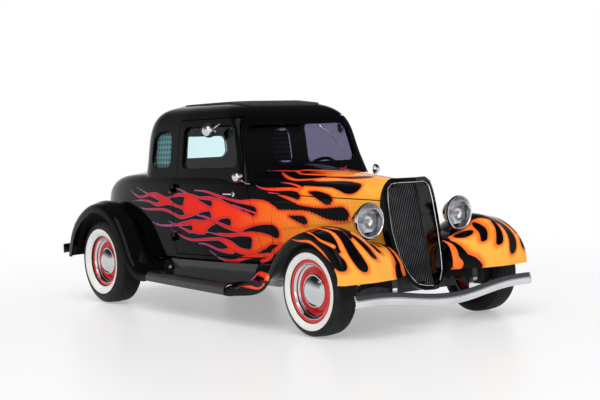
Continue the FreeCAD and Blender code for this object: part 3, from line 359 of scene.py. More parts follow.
cadFinishes = {
    "black paint": ["deck_lid", "hood_hinge", "radiator_shell", "rear_fenders", "dashboard"],
    "roof vinyl": ["roof_insert"],
    "window glass": ["door_glass_right", "door_glass_left"],
    "cab glass": ["cab_glass"],
    "grille black": ["grille"],
    "running board": ["running_boards"],
    "chassis paint": ["frame_rails", "fuel_tank"],
    "cast iron": ["engine_block", "front_axle", "leaf_springs", "rear_axle", "knuckle_right", "knuckle_left",
                  "tie_rod"],
    "brushed steel": ["exhaust_pipes"],
    "wheel red": ["wheel_front_right", "wheel_front_left", "wheel_rear_right", "wheel_rear_left"],
    "chrome": ["front_bumper", "rear_bumper", "bumper_irons", "plate_bracket", "tail_lamps",
               "steering_column"],
    "dark plastic": ["steering_wheel"],
    "flame paint": ["cab_shell", "door_right", "door_left", "hood_top_right", "hood_top_left", "hood_sides",
                    "front_fenders"],
    "red leather": ["bench_seat"],
    "tyre rubber": ["tyre_front_right", "tyre_front_left", "tyre_rear_right", "tyre_rear_left"],
    "lamp glass": ["headlamp_lenses"],
}
for finishName, nodeNames in cadFinishes.items():
    for nodeName in nodeNames:
        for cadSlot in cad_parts[nodeName].material_slots:
            cadSlot.material = bpy.data.materials[finishName]
print("finishes made")


# Helpers for pieces.
def placePiece(name, mesh, body):
    piece = bpy.data.objects.new(name, mesh)
    link(piece)
    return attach(piece, body)


def makePiece(name, bm, materials, body, sharpAngle=38.0, recalc=True):
    if recalc:
        bmesh.ops.recalc_face_normals(bm, faces=bm.faces)
    mesh = bpy.data.meshes.new(name)
    bm.to_mesh(mesh)
    bm.free()
    for material in materials if isinstance(materials, list) else [materials]:
        mesh.materials.append(material)
    mesh.shade_smooth()
    mesh.set_sharp_from_angle(angle=math.radians(sharpAngle))
    return placePiece(name, mesh, body)


def spun(bm, profile, centre, axis, steps):
    # profile: (distance along the axis, radius) from the centre
    up = Vector((0, 0, 1))
    corners = [bm.verts.new(centre + axis * along + up * radius) for along, radius in profile]
    edges = [bm.edges.new(pair) for pair in zip(corners, corners[1:])]
    bmesh.ops.spin(bm, geom=corners + edges, cent=centre, axis=axis, angle=2 * math.pi, steps=steps,
                   use_merge=True, use_duplicate=False)
    bmesh.ops.remove_doubles(bm, verts=bm.verts, dist=1e-5)


def spunPiece(name, profile, centre, axis, steps, material, body, sharpAngle):
    bm = bmesh.new()
    spun(bm, profile, centre, axis, steps)
    return makePiece(name, bm, material, body, sharpAngle)


def swept(bm, path, radii, sides):
    # a round rod along listed points, with closed ends
    path = [Vector(p) for p in path]
    runs = [(b - a).normalized() for a, b in zip(path, path[1:])]
    facings = [runs[0]] + [(a + b).normalized() for a, b in zip(runs, runs[1:])] + [runs[-1]]
    radii = radii if isinstance(radii, list) else [radii] * len(path)
    ring = bmesh.ops.create_circle(bm, cap_ends=True, segments=sides, radius=radii[0])["verts"]
    turn = facings[0].to_track_quat("Z", "Y")
    for vert in ring:
        vert.co = path[0] + turn @ vert.co
    caps = ring[0].link_faces[:]
    for i in range(1, len(path)):
        grown = bmesh.ops.extrude_face_region(bm, geom=caps, use_keep_orig=(i == 1))["geom"]
        turn = facings[i - 1].rotation_difference(facings[i])
        for vert in [g for g in grown if isinstance(g, bmesh.types.BMVert)]:
            vert.co = path[i] + turn @ (vert.co - path[i - 1]) * (radii[i] / radii[i - 1])
        caps = [g for g in grown if isinstance(g, bmesh.types.BMFace)]


def grid(bm, columns, rows):
    # a sheet's vertices, from -0.5 to 0.5 in x and y
    return bmesh.ops.create_grid(bm, x_segments=columns, y_segments=rows, size=0.5)["verts"]


def thicken(piece, thickness, offset=-1.0):
    modifier = piece.modifiers.new("thickness", "SOLIDIFY")
    modifier.thickness, modifier.offset = thickness, offset
    return piece


def mirrored(rows, sign):
    return [Vector((x, sign * y, z)) for x, y, z in rows]


def surfaceOf(nodeName):
    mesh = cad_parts[nodeName].data
    return BVHTree.FromPolygons([v.co for v in mesh.vertices], [p.vertices[:] for p in mesh.polygons])


# The flames, in millimetres. Areas are outlines of fire. Licks, the black gaps in them and the overlays on
# top are strokes of (place, place, half width).
# On a side, the places are along the car, and the height less the distance from the centre line.
sideFlames = {
    "areas": [
        [(1700, 1250), (1050, 1250), (1000, 1060), (1020, 900), (1000, 800), (1000, 620), (990, 550),
         (965, 500), (965, 420), (1000, 370), (1700, 300)],
        [(530, 285), (600, 312), (674, 331), (727, 331), (792, 310), (860, 330), (1000, 370), (1150, 420),
         (1400, 450), (1660, 500), (1660, 100), (1000, 50), (800, 50), (600, 60), (530, 60)],
        [(-150, 240), (-65, 232), (37, 236), (159, 249), (253, 242), (331, 228), (436, 208), (533, 184),
         (600, 175), (600, 60), (565, 50), (478, 33), (400, 27), (330, 37), (270, 55), (225, 50),
         (160, 100), (60, 100), (-30, 70), (-120, 55), (-200, 120)],
        [(550, 55), (640, 75), (720, 72), (780, 75), (840, 90), (840, 60), (800, 35), (740, 10),
         (680, -40), (620, -70), (550, -100), (560, -50), (585, 0)],
    ],
    "licks": [
        [(1200, 1030, 120), (1080, 980, 90), (980, 930, 50), (880, 900, 20), (800, 870, 6)],
        [(530, 704, 3), (608, 778, 11), (693, 837, 14), (744, 922, 20), (862, 960, 35), (986, 1040, 30)],
        [(703, 826, 11), (793, 793, 17), (929, 836, 29), (1118, 905, 34)],
        [(629, 745, 3), (726, 679, 17), (824, 637, 25), (899, 644, 26), (1046, 761, 24), (1197, 813, 25)],
        [(793, 539, 3), (871, 553, 9), (948, 547, 11), (1005, 537, 13), (1130, 577, 14), (1220, 610, 19)],
        [(603, 431, 3), (666, 423, 8), (775, 450, 15), (895, 494, 17), (962, 507, 20)],
        [(703, 400, 2), (780, 415, 6), (846, 415, 11), (925, 411, 16), (991, 414, 32)],
        [(-39, 281, 2), (98, 283, 7), (194, 271, 9), (298, 254, 13), (384, 247, 15), (483, 252, 17),
         (570, 274, 24)],
        [(0, 190, 50), (-80, 225, 25), (-143, 233, 16), (-251, 233, 13), (-340, 200, 18), (-420, 180, 28),
         (-480, 182, 22), (-540, 190, 8), (-602, 208, 8), (-698, 232, 7), (-800, 265, 5), (-909, 301, 2)],
        [(-80, 120, 50), (-170, 131, 18), (-279, 142, 11), (-363, 165, 20), (-430, 165, 22),
         (-510, 149, 17), (-585, 147, 12), (-681, 170, 9), (-797, 180, 6), (-957, 184, 2)],
        [(-420, 185, 20), (-480, 208, 15), (-571, 231, 13), (-650, 233, 11), (-731, 215, 9),
         (-833, 211, 9), (-924, 236, 6), (-1023, 292, 2)],
        [(-50, 100, 30), (-132, 68, 18), (-226, 55, 12), (-307, 74, 11), (-406, 98, 10), (-509, 105, 9),
         (-695, 102, 8), (-829, 118, 2)],
        [(37, 221, 8), (-52, 231, 7), (-130, 250, 7), (-210, 272, 5), (-276, 285, 2)],
        [(200, 45, 12), (150, 35, 30), (90, 12, 45), (20, 0, 52), (-50, 0, 50), (-110, -6, 42),
         (-170, -12, 24), (-220, -14, 10)],
        [(-96, 31, 12), (-206, 10, 9), (-306, -10, 7), (-406, -17, 7), (-524, -18, 6), (-643, 2, 2)],
        [(-110, -46, 10), (-186, -29, 7), (-264, -9, 6), (-331, 4, 4), (-399, 16, 2)],
        [(-368, -41, 2), (-275, -69, 5), (-185, -93, 7), (-94, -101, 8), (10, -92, 9), (136, -74, 10),
         (232, -62, 11), (310, -69, 21), (381, -88, 32), (458, -103, 23), (532, -93, 18), (600, -70, 12)],
        [(54, -50, 2), (108, -25, 5), (168, -23, 7), (238, -27, 9), (317, -23, 11), (393, -12, 13),
         (475, 12, 13), (569, 35, 17), (636, 47, 28), (710, 37, 34), (760, 60, 30)],
        [(-21, -121, 2), (68, -116, 5), (151, -127, 7), (220, -138, 8), (299, -137, 13), (376, -120, 25)],
        [(122, -156, 2), (189, -184, 4), (256, -200, 6), (342, -200, 8), (420, -180, 10), (490, -145, 12),
         (565, -112, 13), (656, -78, 13), (730, -55, 12)],
        [(643, -122, 10), (726, -77, 11), (777, -15, 12), (823, 38, 11), (885, 103, 8), (940, 150, 3)],
    ],
    "gaps": [
        [(1313, 938, 35), (1268, 901, 38), (1206, 861, 29), (1090, 825, 16), (900, 754, 14),
         (800, 715, 20)],
        [(1335, 690, 88), (1267, 698, 80), (1197, 687, 64), (1088, 645, 50), (980, 610, 45)],
        [(957, 453, 30), (904, 448, 18), (846, 439, 6)],
        [(1200, 505, 45), (1129, 517, 33), (1062, 518, 10)],
        [(1329, 436, 50), (1269, 412, 47), (1193, 391, 37), (1115, 384, 22), (1036, 372, 19),
         (971, 358, 24), (900, 345, 30), (830, 336, 44)],
        [(1027, 279, 31), (976, 274, 21), (920, 269, 7)],
        [(599, 217, 38), (531, 221, 27), (465, 222, 20), (384, 234, 9), (298, 245, 4)],
        [(159, 193, 25), (86, 202, 15), (11, 213, 4)],
        [(141, 100, 31), (61, 91, 23), (-28, 70, 12), (-133, 48, 7), (-220, 30, 7)],
        [(368, 76, 28), (298, 72, 16), (246, 61, 4)],
        [(788, 116, 42), (719, 111, 32), (638, 91, 21), (565, 64, 11), (478, 28, 4), (375, 8, 8),
         (289, 9, 18), (210, 5, 30), (122, -15, 10)],
        [(533, -31, 41), (468, -34, 30), (399, -39, 14), (341, -46, 3)],
        [(254, -100, 26), (180, -95, 17), (96, -94, 5)],
        [(-92, -16, 21), (-157, -15, 12), (-224, -14, 4)],
        [(-210, 181, 36), (-293, 189, 24), (-370, 194, 6)],
        [(-231, 95, 24), (-307, 117, 20), (-392, 131, 8), (-464, 128, 3)],
        [(-586, 178, 12), (-665, 193, 7)],
        [(660, -52, 6), (717, -24, 9), (773, 10, 6), (807, 34, 2)],
    ],
    "overlays": [
        [(416, 217, 3), (485, 209, 6), (577, 207, 7), (648, 206, 9), (738, 219, 10), (838, 260, 19),
         (919, 293, 16), (998, 327, 18), (1078, 344, 19)],
        [(-2, 85, 3), (98, 81, 7), (217, 59, 9), (327, 37, 11), (430, 31, 11), (499, 46, 11)],
    ],
}
# On a front fender, the places are the way round the fender's middle, and the distance from the centre line
# less that from the middle.
fenderFlames = {
    "middle": (1.4525, 0.0),
    "wayPerRadian": 0.62,
    "areas": [
        [(340, 280), (340, -200), (420, -210), (490, -250), (530, -280), (570, -295), (630, -311),
         (690, -322), (740, -300), (770, -220), (770, -150), (740, -130), (700, -110), (660, -80),
         (620, -20), (600, 50), (580, 120), (550, 200), (500, 280), (420, 330)],
    ],
    "licks": [
        [(500, 190, 35), (580, 205, 22), (660, 210, 18), (740, 207, 13), (813, 204, 11), (914, 220, 7),
         (970, 217, 5), (1023, 204, 2)],
        [(640, 115, 18), (700, 143, 12), (759, 152, 10), (821, 142, 10), (900, 118, 8), (980, 100, 5),
         (1040, 90, 2)],
        [(596, 68, 25), (655, 36, 25), (713, 15, 24), (770, 4, 22), (852, 12, 18), (965, 2, 10),
         (1060, 0, 3)],
        [(505, -63, 10), (529, -61, 8), (582, -54, 7), (647, -49, 9), (720, -60, 10), (779, -53, 10),
         (861, -25, 8)],
        [(1410, 369, 30), (1500, 250, 40), (1589, 57, 30)],
        [(1495, 369, 11), (1550, 359, 8), (1605, 307, 10), (1656, 196, 12), (1700, 77, 10), (1729, 80, 3)],
        [(1600, 20, 30), (1660, -120, 20), (1690, -264, 14), (1702, -314, 9), (1726, -300, 6),
         (1736, -245, 3)],
    ],
    "gaps": [
        [(530, 172, 54), (590, 178, 47), (669, 185, 25), (741, 182, 20), (819, 168, 24), (892, 164, 24),
         (954, 179, 20)],
        [(737, 91, 39), (794, 99, 38), (865, 89, 27)],
        [(495, 12, 47), (540, 12, 48), (599, 0, 41), (662, -20, 36), (735, -35, 31), (793, -19, 18),
         (871, -6, 11)],
        [(530, -125, 22), (572, -120, 24), (624, -110, 20), (675, -100, 15), (706, -85, 7)],
        [(580, -200, 16), (630, -187, 16), (698, -178, 12), (742, -168, 5)],
        [(702, -245, 36), (685, -235, 30), (666, -230, 12)],
    ],
    "overlays": [
        [(729, -352, 3), (660, -345, 10), (600, -338, 12), (540, -324, 12), (488, -294, 10),
         (430, -270, 6), (390, -250, 2)],
    ],
}
# In the first rounds each edge longer than coarse is cut. Edges near the fire's outline are cut down to fine.
flameMesh = {"coarse": 0.1, "fine": 0.009, "cabFine": 0.018, "rounds": 9, "coarseRounds": 5,
             "fewest": 0.004, "outline": 0.6, "reach": 0.14, "facing": 0.05, "thinnest": 0.0008,
             "widest": 0.05, "sideways": 0.35, "weld": 1e-5}


def throughPoints(points, steps=5):
    # a smooth curve through a lick's points, its half width carried along
    p = np.array(points) / 1000
    p = np.vstack([2 * p[0] - p[1], p, 2 * p[-1] - p[-2]])
    t = np.linspace(0, 1, steps, endpoint=False)[:, None]
    runs = [0.5 * (2 * b + (c - a) * t + (2 * a - 5 * b + 4 * c - d) * t ** 2
                   + (3 * b - a - 3 * c + d) * t ** 3)
            for a, b, c, d in zip(p[:-3], p[1:-2], p[2:-1], p[3:])]
    curve = np.vstack(runs + [p[-2][None]])
    curve[:, 2] = np.maximum(curve[:, 2], flameMesh["thinnest"])
    return curve


def alongLine(where, start, along):
    # each place's distance from a line, and the share of the line where it is nearest
    share = np.clip(((where - start) * along).sum(1) / max((along * along).sum(), 1e-12), 0, 1)
    return np.linalg.norm(where - start - share[:, None] * along, axis=1), share


def lickDepth(where, lick):
    # how far inside a lick each place is, and how wide the lick is there
    curve = throughPoints(lick)
    margin = curve[:, 2].max() + flameMesh["reach"]
    near = np.all((where > curve[:, :2].min(0) - margin) & (where < curve[:, :2].max(0) + margin), axis=1)
    depth, width = np.full(len(where), -1.0), np.full(len(where), flameMesh["widest"])
    best, wide = depth[near], width[near]
    for a, b in zip(curve[:-1], curve[1:]):
        distance, share = alongLine(where[near], a[:2], b[:2] - a[:2])
        radius = a[2] + share * (b[2] - a[2])
        better = radius - distance > best
        best, wide = np.where(better, radius - distance, best), np.where(better, radius, wide)
    depth[near], width[near] = best, wide
    return depth, width


def areaDepth(where, corners):
    depth, inside = np.full(len(where), 9.0), np.zeros(len(where), bool)
    corners = np.array(corners) / 1000
    for a, b in zip(corners, np.roll(corners, -1, axis=0)):
        depth = np.minimum(depth, alongLine(where, a, b - a)[0])
        crosses = (a[1] > where[:, 1]) != (b[1] > where[:, 1])
        rise = b[1] - a[1] if b[1] != a[1] else 1e-9
        inside ^= crosses & (where[:, 0] < a[0] + (where[:, 1] - a[1]) / rise * (b[0] - a[0]))
    return np.where(inside, depth, -depth)


def flameDepthAt(where, flames):
    depth, width = np.full(len(where), -1.0), np.full(len(where), flameMesh["widest"])

    def addLicks(licks, depth, width):
        for lick in licks:
            value, wide = lickDepth(where, lick)
            width = np.where(value > depth, wide, width)
            depth = np.maximum(depth, value)
        return depth, width

    for corners in flames["areas"]:
        depth = np.maximum(depth, areaDepth(where, corners))
    depth, width = addLicks(flames["licks"], depth, width)
    for gap in flames["gaps"]:
        depth = np.minimum(depth, -lickDepth(where, gap)[0])
    return addLicks(flames["overlays"], depth, width)


def onSide(places):
    return np.stack([places[:, 0], places[:, 2] - np.abs(places[:, 1])], axis=1)


def offMiddle(places):
    x, z = fenderFlames["middle"]
    return places[:, 0] - x, places[:, 2] - z


def onFender(places):
    dx, dz = offMiddle(places)
    around = fenderFlames["wayPerRadian"] * np.arctan2(dz, dx)
    return np.stack([around, np.abs(places[:, 1]) - np.hypot(dx, dz)], axis=1)


def sideFacing(places, normals, side):
    return normals[:, 1] * side + normals[:, 2]


def fenderFacing(places, normals, side):
    dx, dz = offMiddle(places)
    outwards = (normals[:, 0] * dx + normals[:, 2] * dz) / np.hypot(dx, dz)
    return outwards + flameMesh["sideways"] * normals[:, 1] * side


def readOut(rows, field, width, kind):
    values = np.empty(len(rows) * width, kind)
    rows.foreach_get(field, values)
    return values.reshape(-1, width) if width > 1 else values


def trianglesOf(mesh):
    mesh.calc_loop_triangles()
    corners = readOut(mesh.loop_triangles, "loops", 3, np.int32).ravel()
    owners = readOut(mesh.loops, "vertex_index", 1, np.int32)
    places = readOut(mesh.vertices, "co", 3, float)
    normals = readOut(mesh.corner_normals, "vector", 3, float)
    return places[owners[corners]].reshape(-1, 3, 3), normals[corners].reshape(-1, 3, 3)


def weldedMesh(name, places):
    # the triangles joined at their corners, each face with its source triangle's number
    bm = bmesh.new()
    source = bm.faces.layers.int.new("source")
    for i, triangle in enumerate(places):
        bm.faces.new([bm.verts.new(place) for place in triangle])[source] = i
    bmesh.ops.remove_doubles(bm, verts=bm.verts, dist=flameMesh["weld"])
    mesh = bpy.data.meshes.new(name)
    bm.to_mesh(mesh)
    bm.free()
    return mesh


def refine(mesh, facing, depthAt, fine):
    # cuts the outward faces finer along the fire's outline, and gives each vertex's depth and width
    bm = bmesh.new()
    bm.from_mesh(mesh)
    source = bm.faces.layers.int["source"]
    depth, width = depthAt([v.co[:] for v in bm.verts])
    for step in range(flameMesh["rounds"] + 1):
        bm.verts.index_update()
        bm.verts.ensure_lookup_table()
        fresh = [v.co[:] for v in bm.verts[len(depth):]]
        if fresh:
            depth, width = (np.concatenate(pair) for pair in zip((depth, width), depthAt(fresh)))
        if step == flameMesh["rounds"]:
            break
        ends = np.array([(e.verts[0].index, e.verts[1].index) for e in bm.edges])
        at = np.array([v.co[:] for v in bm.verts])
        length = np.linalg.norm(at[ends[:, 0]] - at[ends[:, 1]], axis=1)
        near = np.abs(depth)[ends].min(axis=1) < flameMesh["outline"] * length
        near |= (length > flameMesh["coarse"]) & (step < flameMesh["coarseRounds"])
        bm.edges.ensure_lookup_table()
        cuts = [bm.edges[i] for i in np.nonzero((length > fine) & near)[0]
                if any(facing[f[source]] for f in bm.edges[i].link_faces)]
        if len(cuts) < flameMesh["fewest"] * len(bm.edges):
            break
        bmesh.ops.subdivide_edges(bm, edges=cuts, cuts=1)
        bmesh.ops.triangulate(bm, faces=[f for f in bm.faces if len(f.verts) > 3])
    bm.to_mesh(mesh)
    bm.free()
    return depth, width


def sourceNormals(spots, corners, normals):
    # the source triangles' corner normals, blended to where each new corner lies
    first, second, rest = corners[:, 1] - corners[:, 0], corners[:, 2] - corners[:, 0], spots - corners[:, 0]
    aa, ab, bb = ((p * q).sum(1) for p, q in ((first, first), (first, second), (second, second)))
    ra, rb = ((rest * p).sum(1) for p in (first, second))
    area = np.maximum(aa * bb - ab * ab, 1e-20)
    u, v = np.clip((bb * ra - ab * rb) / area, 0, 1), np.clip((aa * rb - ab * ra) / area, 0, 1)
    smooth = (1 - u - v)[:, None] * normals[:, 0] + u[:, None] * normals[:, 1] + v[:, None] * normals[:, 2]
    return smooth / np.maximum(np.linalg.norm(smooth, axis=1, keepdims=True), 1e-9)


def paintFlames(name, nodeName, body, flames, layOut, outwards, extra=None, fine=flameMesh["fine"]):
    # a copy of the panel that carries the fire's depth and width at each corner
    sources = [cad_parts[nodeName].data] + ([extra] if extra else [])
    parts = [trianglesOf(mesh) for mesh in sources]
    places, normals = (np.concatenate([part[i] for part in parts]) for i in (0, 1))
    side = np.sign(places[:, :, 1].mean(1))
    facing = outwards(places.mean(1), normals.mean(1), side) > flameMesh["facing"]
    mesh = weldedMesh(name, places)
    depth, width = refine(mesh, facing, lambda spots: flameDepthAt(layOut(np.array(spots)), flames), fine)
    owners = readOut(mesh.loops, "vertex_index", 1, np.int32)
    spots = readOut(mesh.vertices, "co", 3, float)[owners]
    fromTriangle = np.repeat(readOut(mesh.attributes["source"].data, "value", 1, np.int32), 3)
    smooth = sourceNormals(spots, places[fromTriangle], normals[fromTriangle])
    depth, width = depth[owners], width[owners]
    # faces that don't face out stay black, without fire: the panels' inner sides in the car's black paint,
    # and the louvers' back walls as painted shade of their openings
    depth[~facing[fromTriangle]] = -1.0
    mesh.attributes.remove(mesh.attributes["source"])
    for label, values in (("fireDepth", depth), ("lickWidth", width)):
        mesh.attributes.new(label, "FLOAT", "CORNER").data.foreach_set("value", values.astype(np.float32))
    mesh.shade_smooth()
    mesh.normals_split_custom_set([Vector(n) for n in smooth])
    mesh.materials.append(flamePaint)
    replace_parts(placePiece(name, mesh, body), nodeName)
    print(name, "painted")


# Louvers pressed out of the hood sides, open at the back. Their back walls don't face out, so they stay
# black: painted shade of the openings.
louvers = {"count": 23, "first": 0.8, "pitch": 0.0257, "top": 0.866, "bottom": (0.655, 0.715), "lean": 0.046,
           "width": 0.019, "rise": 0.011, "columns": 4, "rows": 22, "endsSteepness": 12, "sunk": 0.0005,
           "returnRise": -0.1, "returnShare": 0.25, "rayFrom": 2}


def louverMesh():
    bm = bmesh.new()
    hoodSide = surfaceOf("hood_sides")
    for _, sign in sides:
        for i in range(louvers["count"]):
            share = i / (louvers["count"] - 1)
            foot = louvers["bottom"][0] + share * (louvers["bottom"][1] - louvers["bottom"][0])
            for vert in grid(bm, louvers["columns"], louvers["rows"]):
                s, t = vert.co.x + 0.5, vert.co.y + 0.5
                x = louvers["first"] + i * louvers["pitch"] + (1 - t) * louvers["lean"]
                x += (s - 0.5) * louvers["width"]
                z = foot + t * (louvers["top"] - foot)
                start = Vector((x, sign * louvers["rayFrom"], z))
                hit, normal, _, _ = hoodSide.ray_cast(start, Vector((0, -sign, 0)))
                ends = min(1.0, louvers["endsSteepness"] * min(t, 1 - t)) ** 0.5
                atBack = s <= 0.01
                rise = louvers["returnRise"] if atBack else math.cos(s * math.pi / 2)
                vert.co = hit + normal * (louvers["rise"] * ends * rise - louvers["sunk"])
                if atBack:
                    vert.co.x += louvers["returnShare"] * louvers["width"]
    bmesh.ops.triangulate(bm, faces=bm.faces)
    mesh = bpy.data.meshes.new("louvers")
    bm.to_mesh(mesh)
    bm.free()
    mesh.shade_smooth()
    mesh.set_sharp_from_angle(angle=math.radians(50))
    return mesh


paintFlames("cabShellPainted", "cab_shell", "chassis", sideFlames, onSide, sideFacing,
            fine=flameMesh["cabFine"])
for name, node in (("doorRight", "door_right"), ("doorLeft", "door_left"), ("hoodTopRight", "hood_top_right"),
                   ("hoodTopLeft", "hood_top_left")):
    paintFlames(name + "Painted", node, node, sideFlames, onSide, sideFacing)
paintFlames("hoodSidesPainted", "hood_sides", "chassis", sideFlames, onSide, sideFacing, louverMesh())
paintFlames("frontFendersPainted", "front_fenders", "chassis", fenderFlames, onFender, fenderFacing)
print("flames painted")

# Tyres, trim rings and hub caps. Profiles are (distance out from the wheel's middle, radius).
tyre = {"bead": 0.208, "beadHalf": 0.07, "beadLip": (0.006, 0.01), "shoulder": 0.014, "steps": 96,
        "levels": (0.0, 0.12, 0.3, 0.5, 0.68, 0.84, 0.94, 1.0), "ribs": 5, "treadHalf": 0.94,
        "groove": 0.0045, "treadIn": 0.0025, "crown": 0.006, "blockFrom": 0.0095, "blockHalf": 0.9,
        "blockInset": 0.0016}
wheelSizes = {"front": {"x": 1.5525, "y": 0.743, "radius": 0.302, "half": 0.0935, "white": (0.212, 0.257)},
              "rear": {"x": -1.2925, "y": 0.7, "radius": 0.35, "half": 0.1135, "white": (0.212, 0.27)}}
trimRing = [(0.03, 0.16), (0.037, 0.1605), (0.043, 0.166), (0.046, 0.172), (0.057, 0.173), (0.062, 0.179),
            (0.07, 0.1835), (0.0705, 0.188), (0.066, 0.1905), (0.06, 0.188), (0.055, 0.18), (0.03, 0.164)]
hubCap = [(0.034, 0.108), (0.04, 0.113), (0.046, 0.1125), (0.05, 0.108), (0.051, 0.102), (0.056, 0.096),
          (0.068, 0.084), (0.079, 0.068), (0.086, 0.048), (0.0895, 0.026), (0.0905, 0.0)]


def tyreWall(sizes):
    low, high = tyre["bead"], sizes["radius"] - tyre["shoulder"]
    radii = sorted([low + (high - low) * share for share in tyre["levels"]] + list(sizes["white"]))
    wall = []
    for radius in radii:
        share = (radius - low) / (high - low)
        bulge = math.sin(math.pi * min(1.0, 0.06 + 0.8 * share) ** 0.9) ** 0.8
        wall.append((tyre["beadHalf"] + (sizes["half"] - tyre["beadHalf"]) * bulge, radius))
    return wall


def tyreTread(sizes, edge):
    # ribs side by side, from one shoulder to the other
    tread = []
    for rib in range(tyre["ribs"]):
        for end, down in ((0.04, tyre["groove"]), (0.1, 0.0), (0.9, 0.0), (0.96, tyre["groove"])):
            along = edge * tyre["treadHalf"] * (2 * (rib + end) / tyre["ribs"] - 1)
            if (rib == 0 and end < 0.1) or (rib == tyre["ribs"] - 1 and end > 0.9):
                down = 0.0
            height = sizes["radius"] - tyre["treadIn"] - tyre["crown"] * (along / edge) ** 2
            tread.append((along, height - down))
    return tread


def buildTyre(name, nodeName, body, centre, sizes, outward):
    wall = tyreWall(sizes)
    edge = wall[-1][0]
    lip = (tyre["beadHalf"] - tyre["beadLip"][0], tyre["bead"] - tyre["beadLip"][1])
    profile = [lip] + wall + [(-a, r) for a, r in tyreTread(sizes, edge)]
    profile += [(-a, r) for a, r in reversed(wall)] + [(-lip[0], lip[1])]
    bm = bmesh.new()
    spun(bm, profile, centre, alongY, tyre["steps"])
    blocks = []
    for face in bm.faces:
        middle = face.calc_center_median() - centre
        radius = math.hypot(middle.x, middle.z)
        if sizes["white"][0] < radius < sizes["white"][1] and middle.y * outward > 0:
            face.material_index = 1
        if radius > sizes["radius"] - tyre["blockFrom"] and abs(middle.y) < edge * tyre["blockHalf"]:
            blocks.append(face)
    bmesh.ops.recalc_face_normals(bm, faces=bm.faces)
    bmesh.ops.inset_individual(bm, faces=blocks, thickness=tyre["blockInset"], depth=tyre["blockInset"])
    piece = makePiece(name, bm, [tyreRubber, whiteRubber], body, 30, recalc=False)
    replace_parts(piece, nodeName)


for end, sizes in wheelSizes.items():
    for side, sign in sides:
        body = f"wheel_{end}_{side}"
        centre = Vector((sizes["x"], sign * sizes["y"], sizes["radius"]))
        buildTyre(f"{end}{side.title()}Tyre", f"tyre_{end}_{side}", body, centre, sizes, sign)
        for label, profile in (("TrimRing", trimRing + trimRing[:1]), ("HubCap", hubCap)):
            profile = [(sign * along, radius) for along, radius in profile]
            spunPiece(f"{end}{side.title()}{label}", profile, centre, alongY, 72, chrome, body, 30)
print("wheels made")

# Headlamps: a chrome bucket with its reflector, a fluted lens, a bulb and a post.
# Profiles are (distance ahead of the front of the glass, radius).
lamp = {
    "front": 1.714, "y": 0.414, "z": 0.742,
    "bucket": [(-0.159, 0.0), (-0.158, 0.012), (-0.152, 0.026), (-0.14, 0.044), (-0.118, 0.066),
               (-0.09, 0.0845), (-0.06, 0.099), (-0.034, 0.109), (-0.026, 0.1105), (-0.025, 0.118),
               (-0.02, 0.121), (-0.01, 0.1208), (-0.003, 0.118), (-0.001, 0.113), (-0.004, 0.11)],
    "reflector": [(-0.009, 0.1085), (-0.03, 0.098), (-0.055, 0.08), (-0.078, 0.056), (-0.09, 0.034),
                  (-0.095, 0.012), (-0.0955, 0.0)],
    "flare": 0.62,
    "lens": [(-0.0085, 0.1085), (-0.004, 0.104), (-0.001, 0.09), (0.0005, 0.06), (0.001, 0.03), (0.001, 0.0)],
    "lensBack": (0.003, 0.001), "lensLip": (-0.0095, 0.1075),
    "bulb": [(-0.094, 0.01), (-0.07, 0.012), (-0.055, 0.014), (-0.04, 0.012), (-0.034, 0.006), (-0.032, 0.0)],
    "postBack": 0.062, "postTop": 0.075, "postRadii": [0.04, 0.038, 0.022, 0.018, 0.022],
}


def isReflector(middle):
    # inside the bucket: closer to its axis than the reflector's cone
    rim, depth = lamp["reflector"][0], lamp["reflector"][-1][0]
    cone = rim[1] + lamp["flare"] * (middle.x - rim[0])
    return middle.x > depth and Vector((0, middle.y, middle.z)).length < cone


def lampBucket(side, centre):
    bm = bmesh.new()
    spun(bm, lamp["bucket"] + lamp["reflector"], centre, alongX, 72)
    for face in bm.faces:
        if isReflector(face.calc_center_median() - centre):
            face.material_index = 1
    return makePiece(f"{side}LampBucket", bm, [chrome, mirror], "chassis", 30)


def lampPost(side, sign):
    bm = bmesh.new()
    top, low = lamp["z"] - lamp["postTop"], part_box("headlamps")[0].z
    heights = (low, low + 0.006, low + 0.02, top - 0.03, top)
    x, y = lamp["front"] - lamp["postBack"], sign * lamp["y"]
    swept(bm, [(x, y, z) for z in heights], lamp["postRadii"], 24)
    makePiece(f"{side}LampPost", bm, blackPaint, "chassis", 40)


inset, thinner = lamp["lensBack"]
lensBack = [(along - inset, max(0.0, radius - thinner)) for along, radius in reversed(lamp["lens"])]
lensProfile = lamp["lens"] + lensBack[:-1] + [lamp["lensLip"]]
for side, sign in sides:
    centre = Vector((lamp["front"], sign * lamp["y"], lamp["z"]))
    bucket = lampBucket(side, centre)
    lens = spunPiece(f"{side}LampLens", lensProfile, centre, alongX, 72, flutedGlass, "chassis", 30)
    spunPiece(f"{side}LampBulb", lamp["bulb"], centre, alongX, 24, whiteRubber, "chassis", 40)
    lampPost(side, sign)
    if side == "right":
        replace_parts(bucket, "headlamps")
        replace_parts(lens, "headlamp_lenses")
print("headlamps made")

# Grille bars, the supports behind them and the bright edge. Half is (height, half width) up the opening.
grille = {"half": [(0.275, 0.034), (0.292, 0.104), (0.366, 0.16), (0.48, 0.196), (0.65, 0.216), (0.82, 0.214),
                   (0.942, 0.198), (0.986, 0.15)],
          "bars": 18, "barSpread": 0.6, "widest": 0.216, "barEnds": (0.279, 0.982), "levels": 22,
          "barWidth": 0.0026, "barInside": 0.002, "proud": 0.006, "sunk": 0.003,
          "supports": (0.42, 0.56, 0.7, 0.84), "supportRadius": 0.003, "supportProud": 0.001,
          "edgeIn": 0.006, "edgeProud": 0.007, "edgeRadius": 0.0045, "edgeSides": (0.3, 0.972),
          "edgeFoot": [(0.0, 0.281), (0.05, 0.284)],
          "edgeTop": [(0.12, 0.978), (0.05, 0.979), (0.0, 0.979)], "rayFrom": 2.5, "plane": 1.7}
grilleFace = surfaceOf("grille")


def grilleHalf(z):
    heights, halves = zip(*grille["half"])
    return float(np.interp(z, heights, halves))


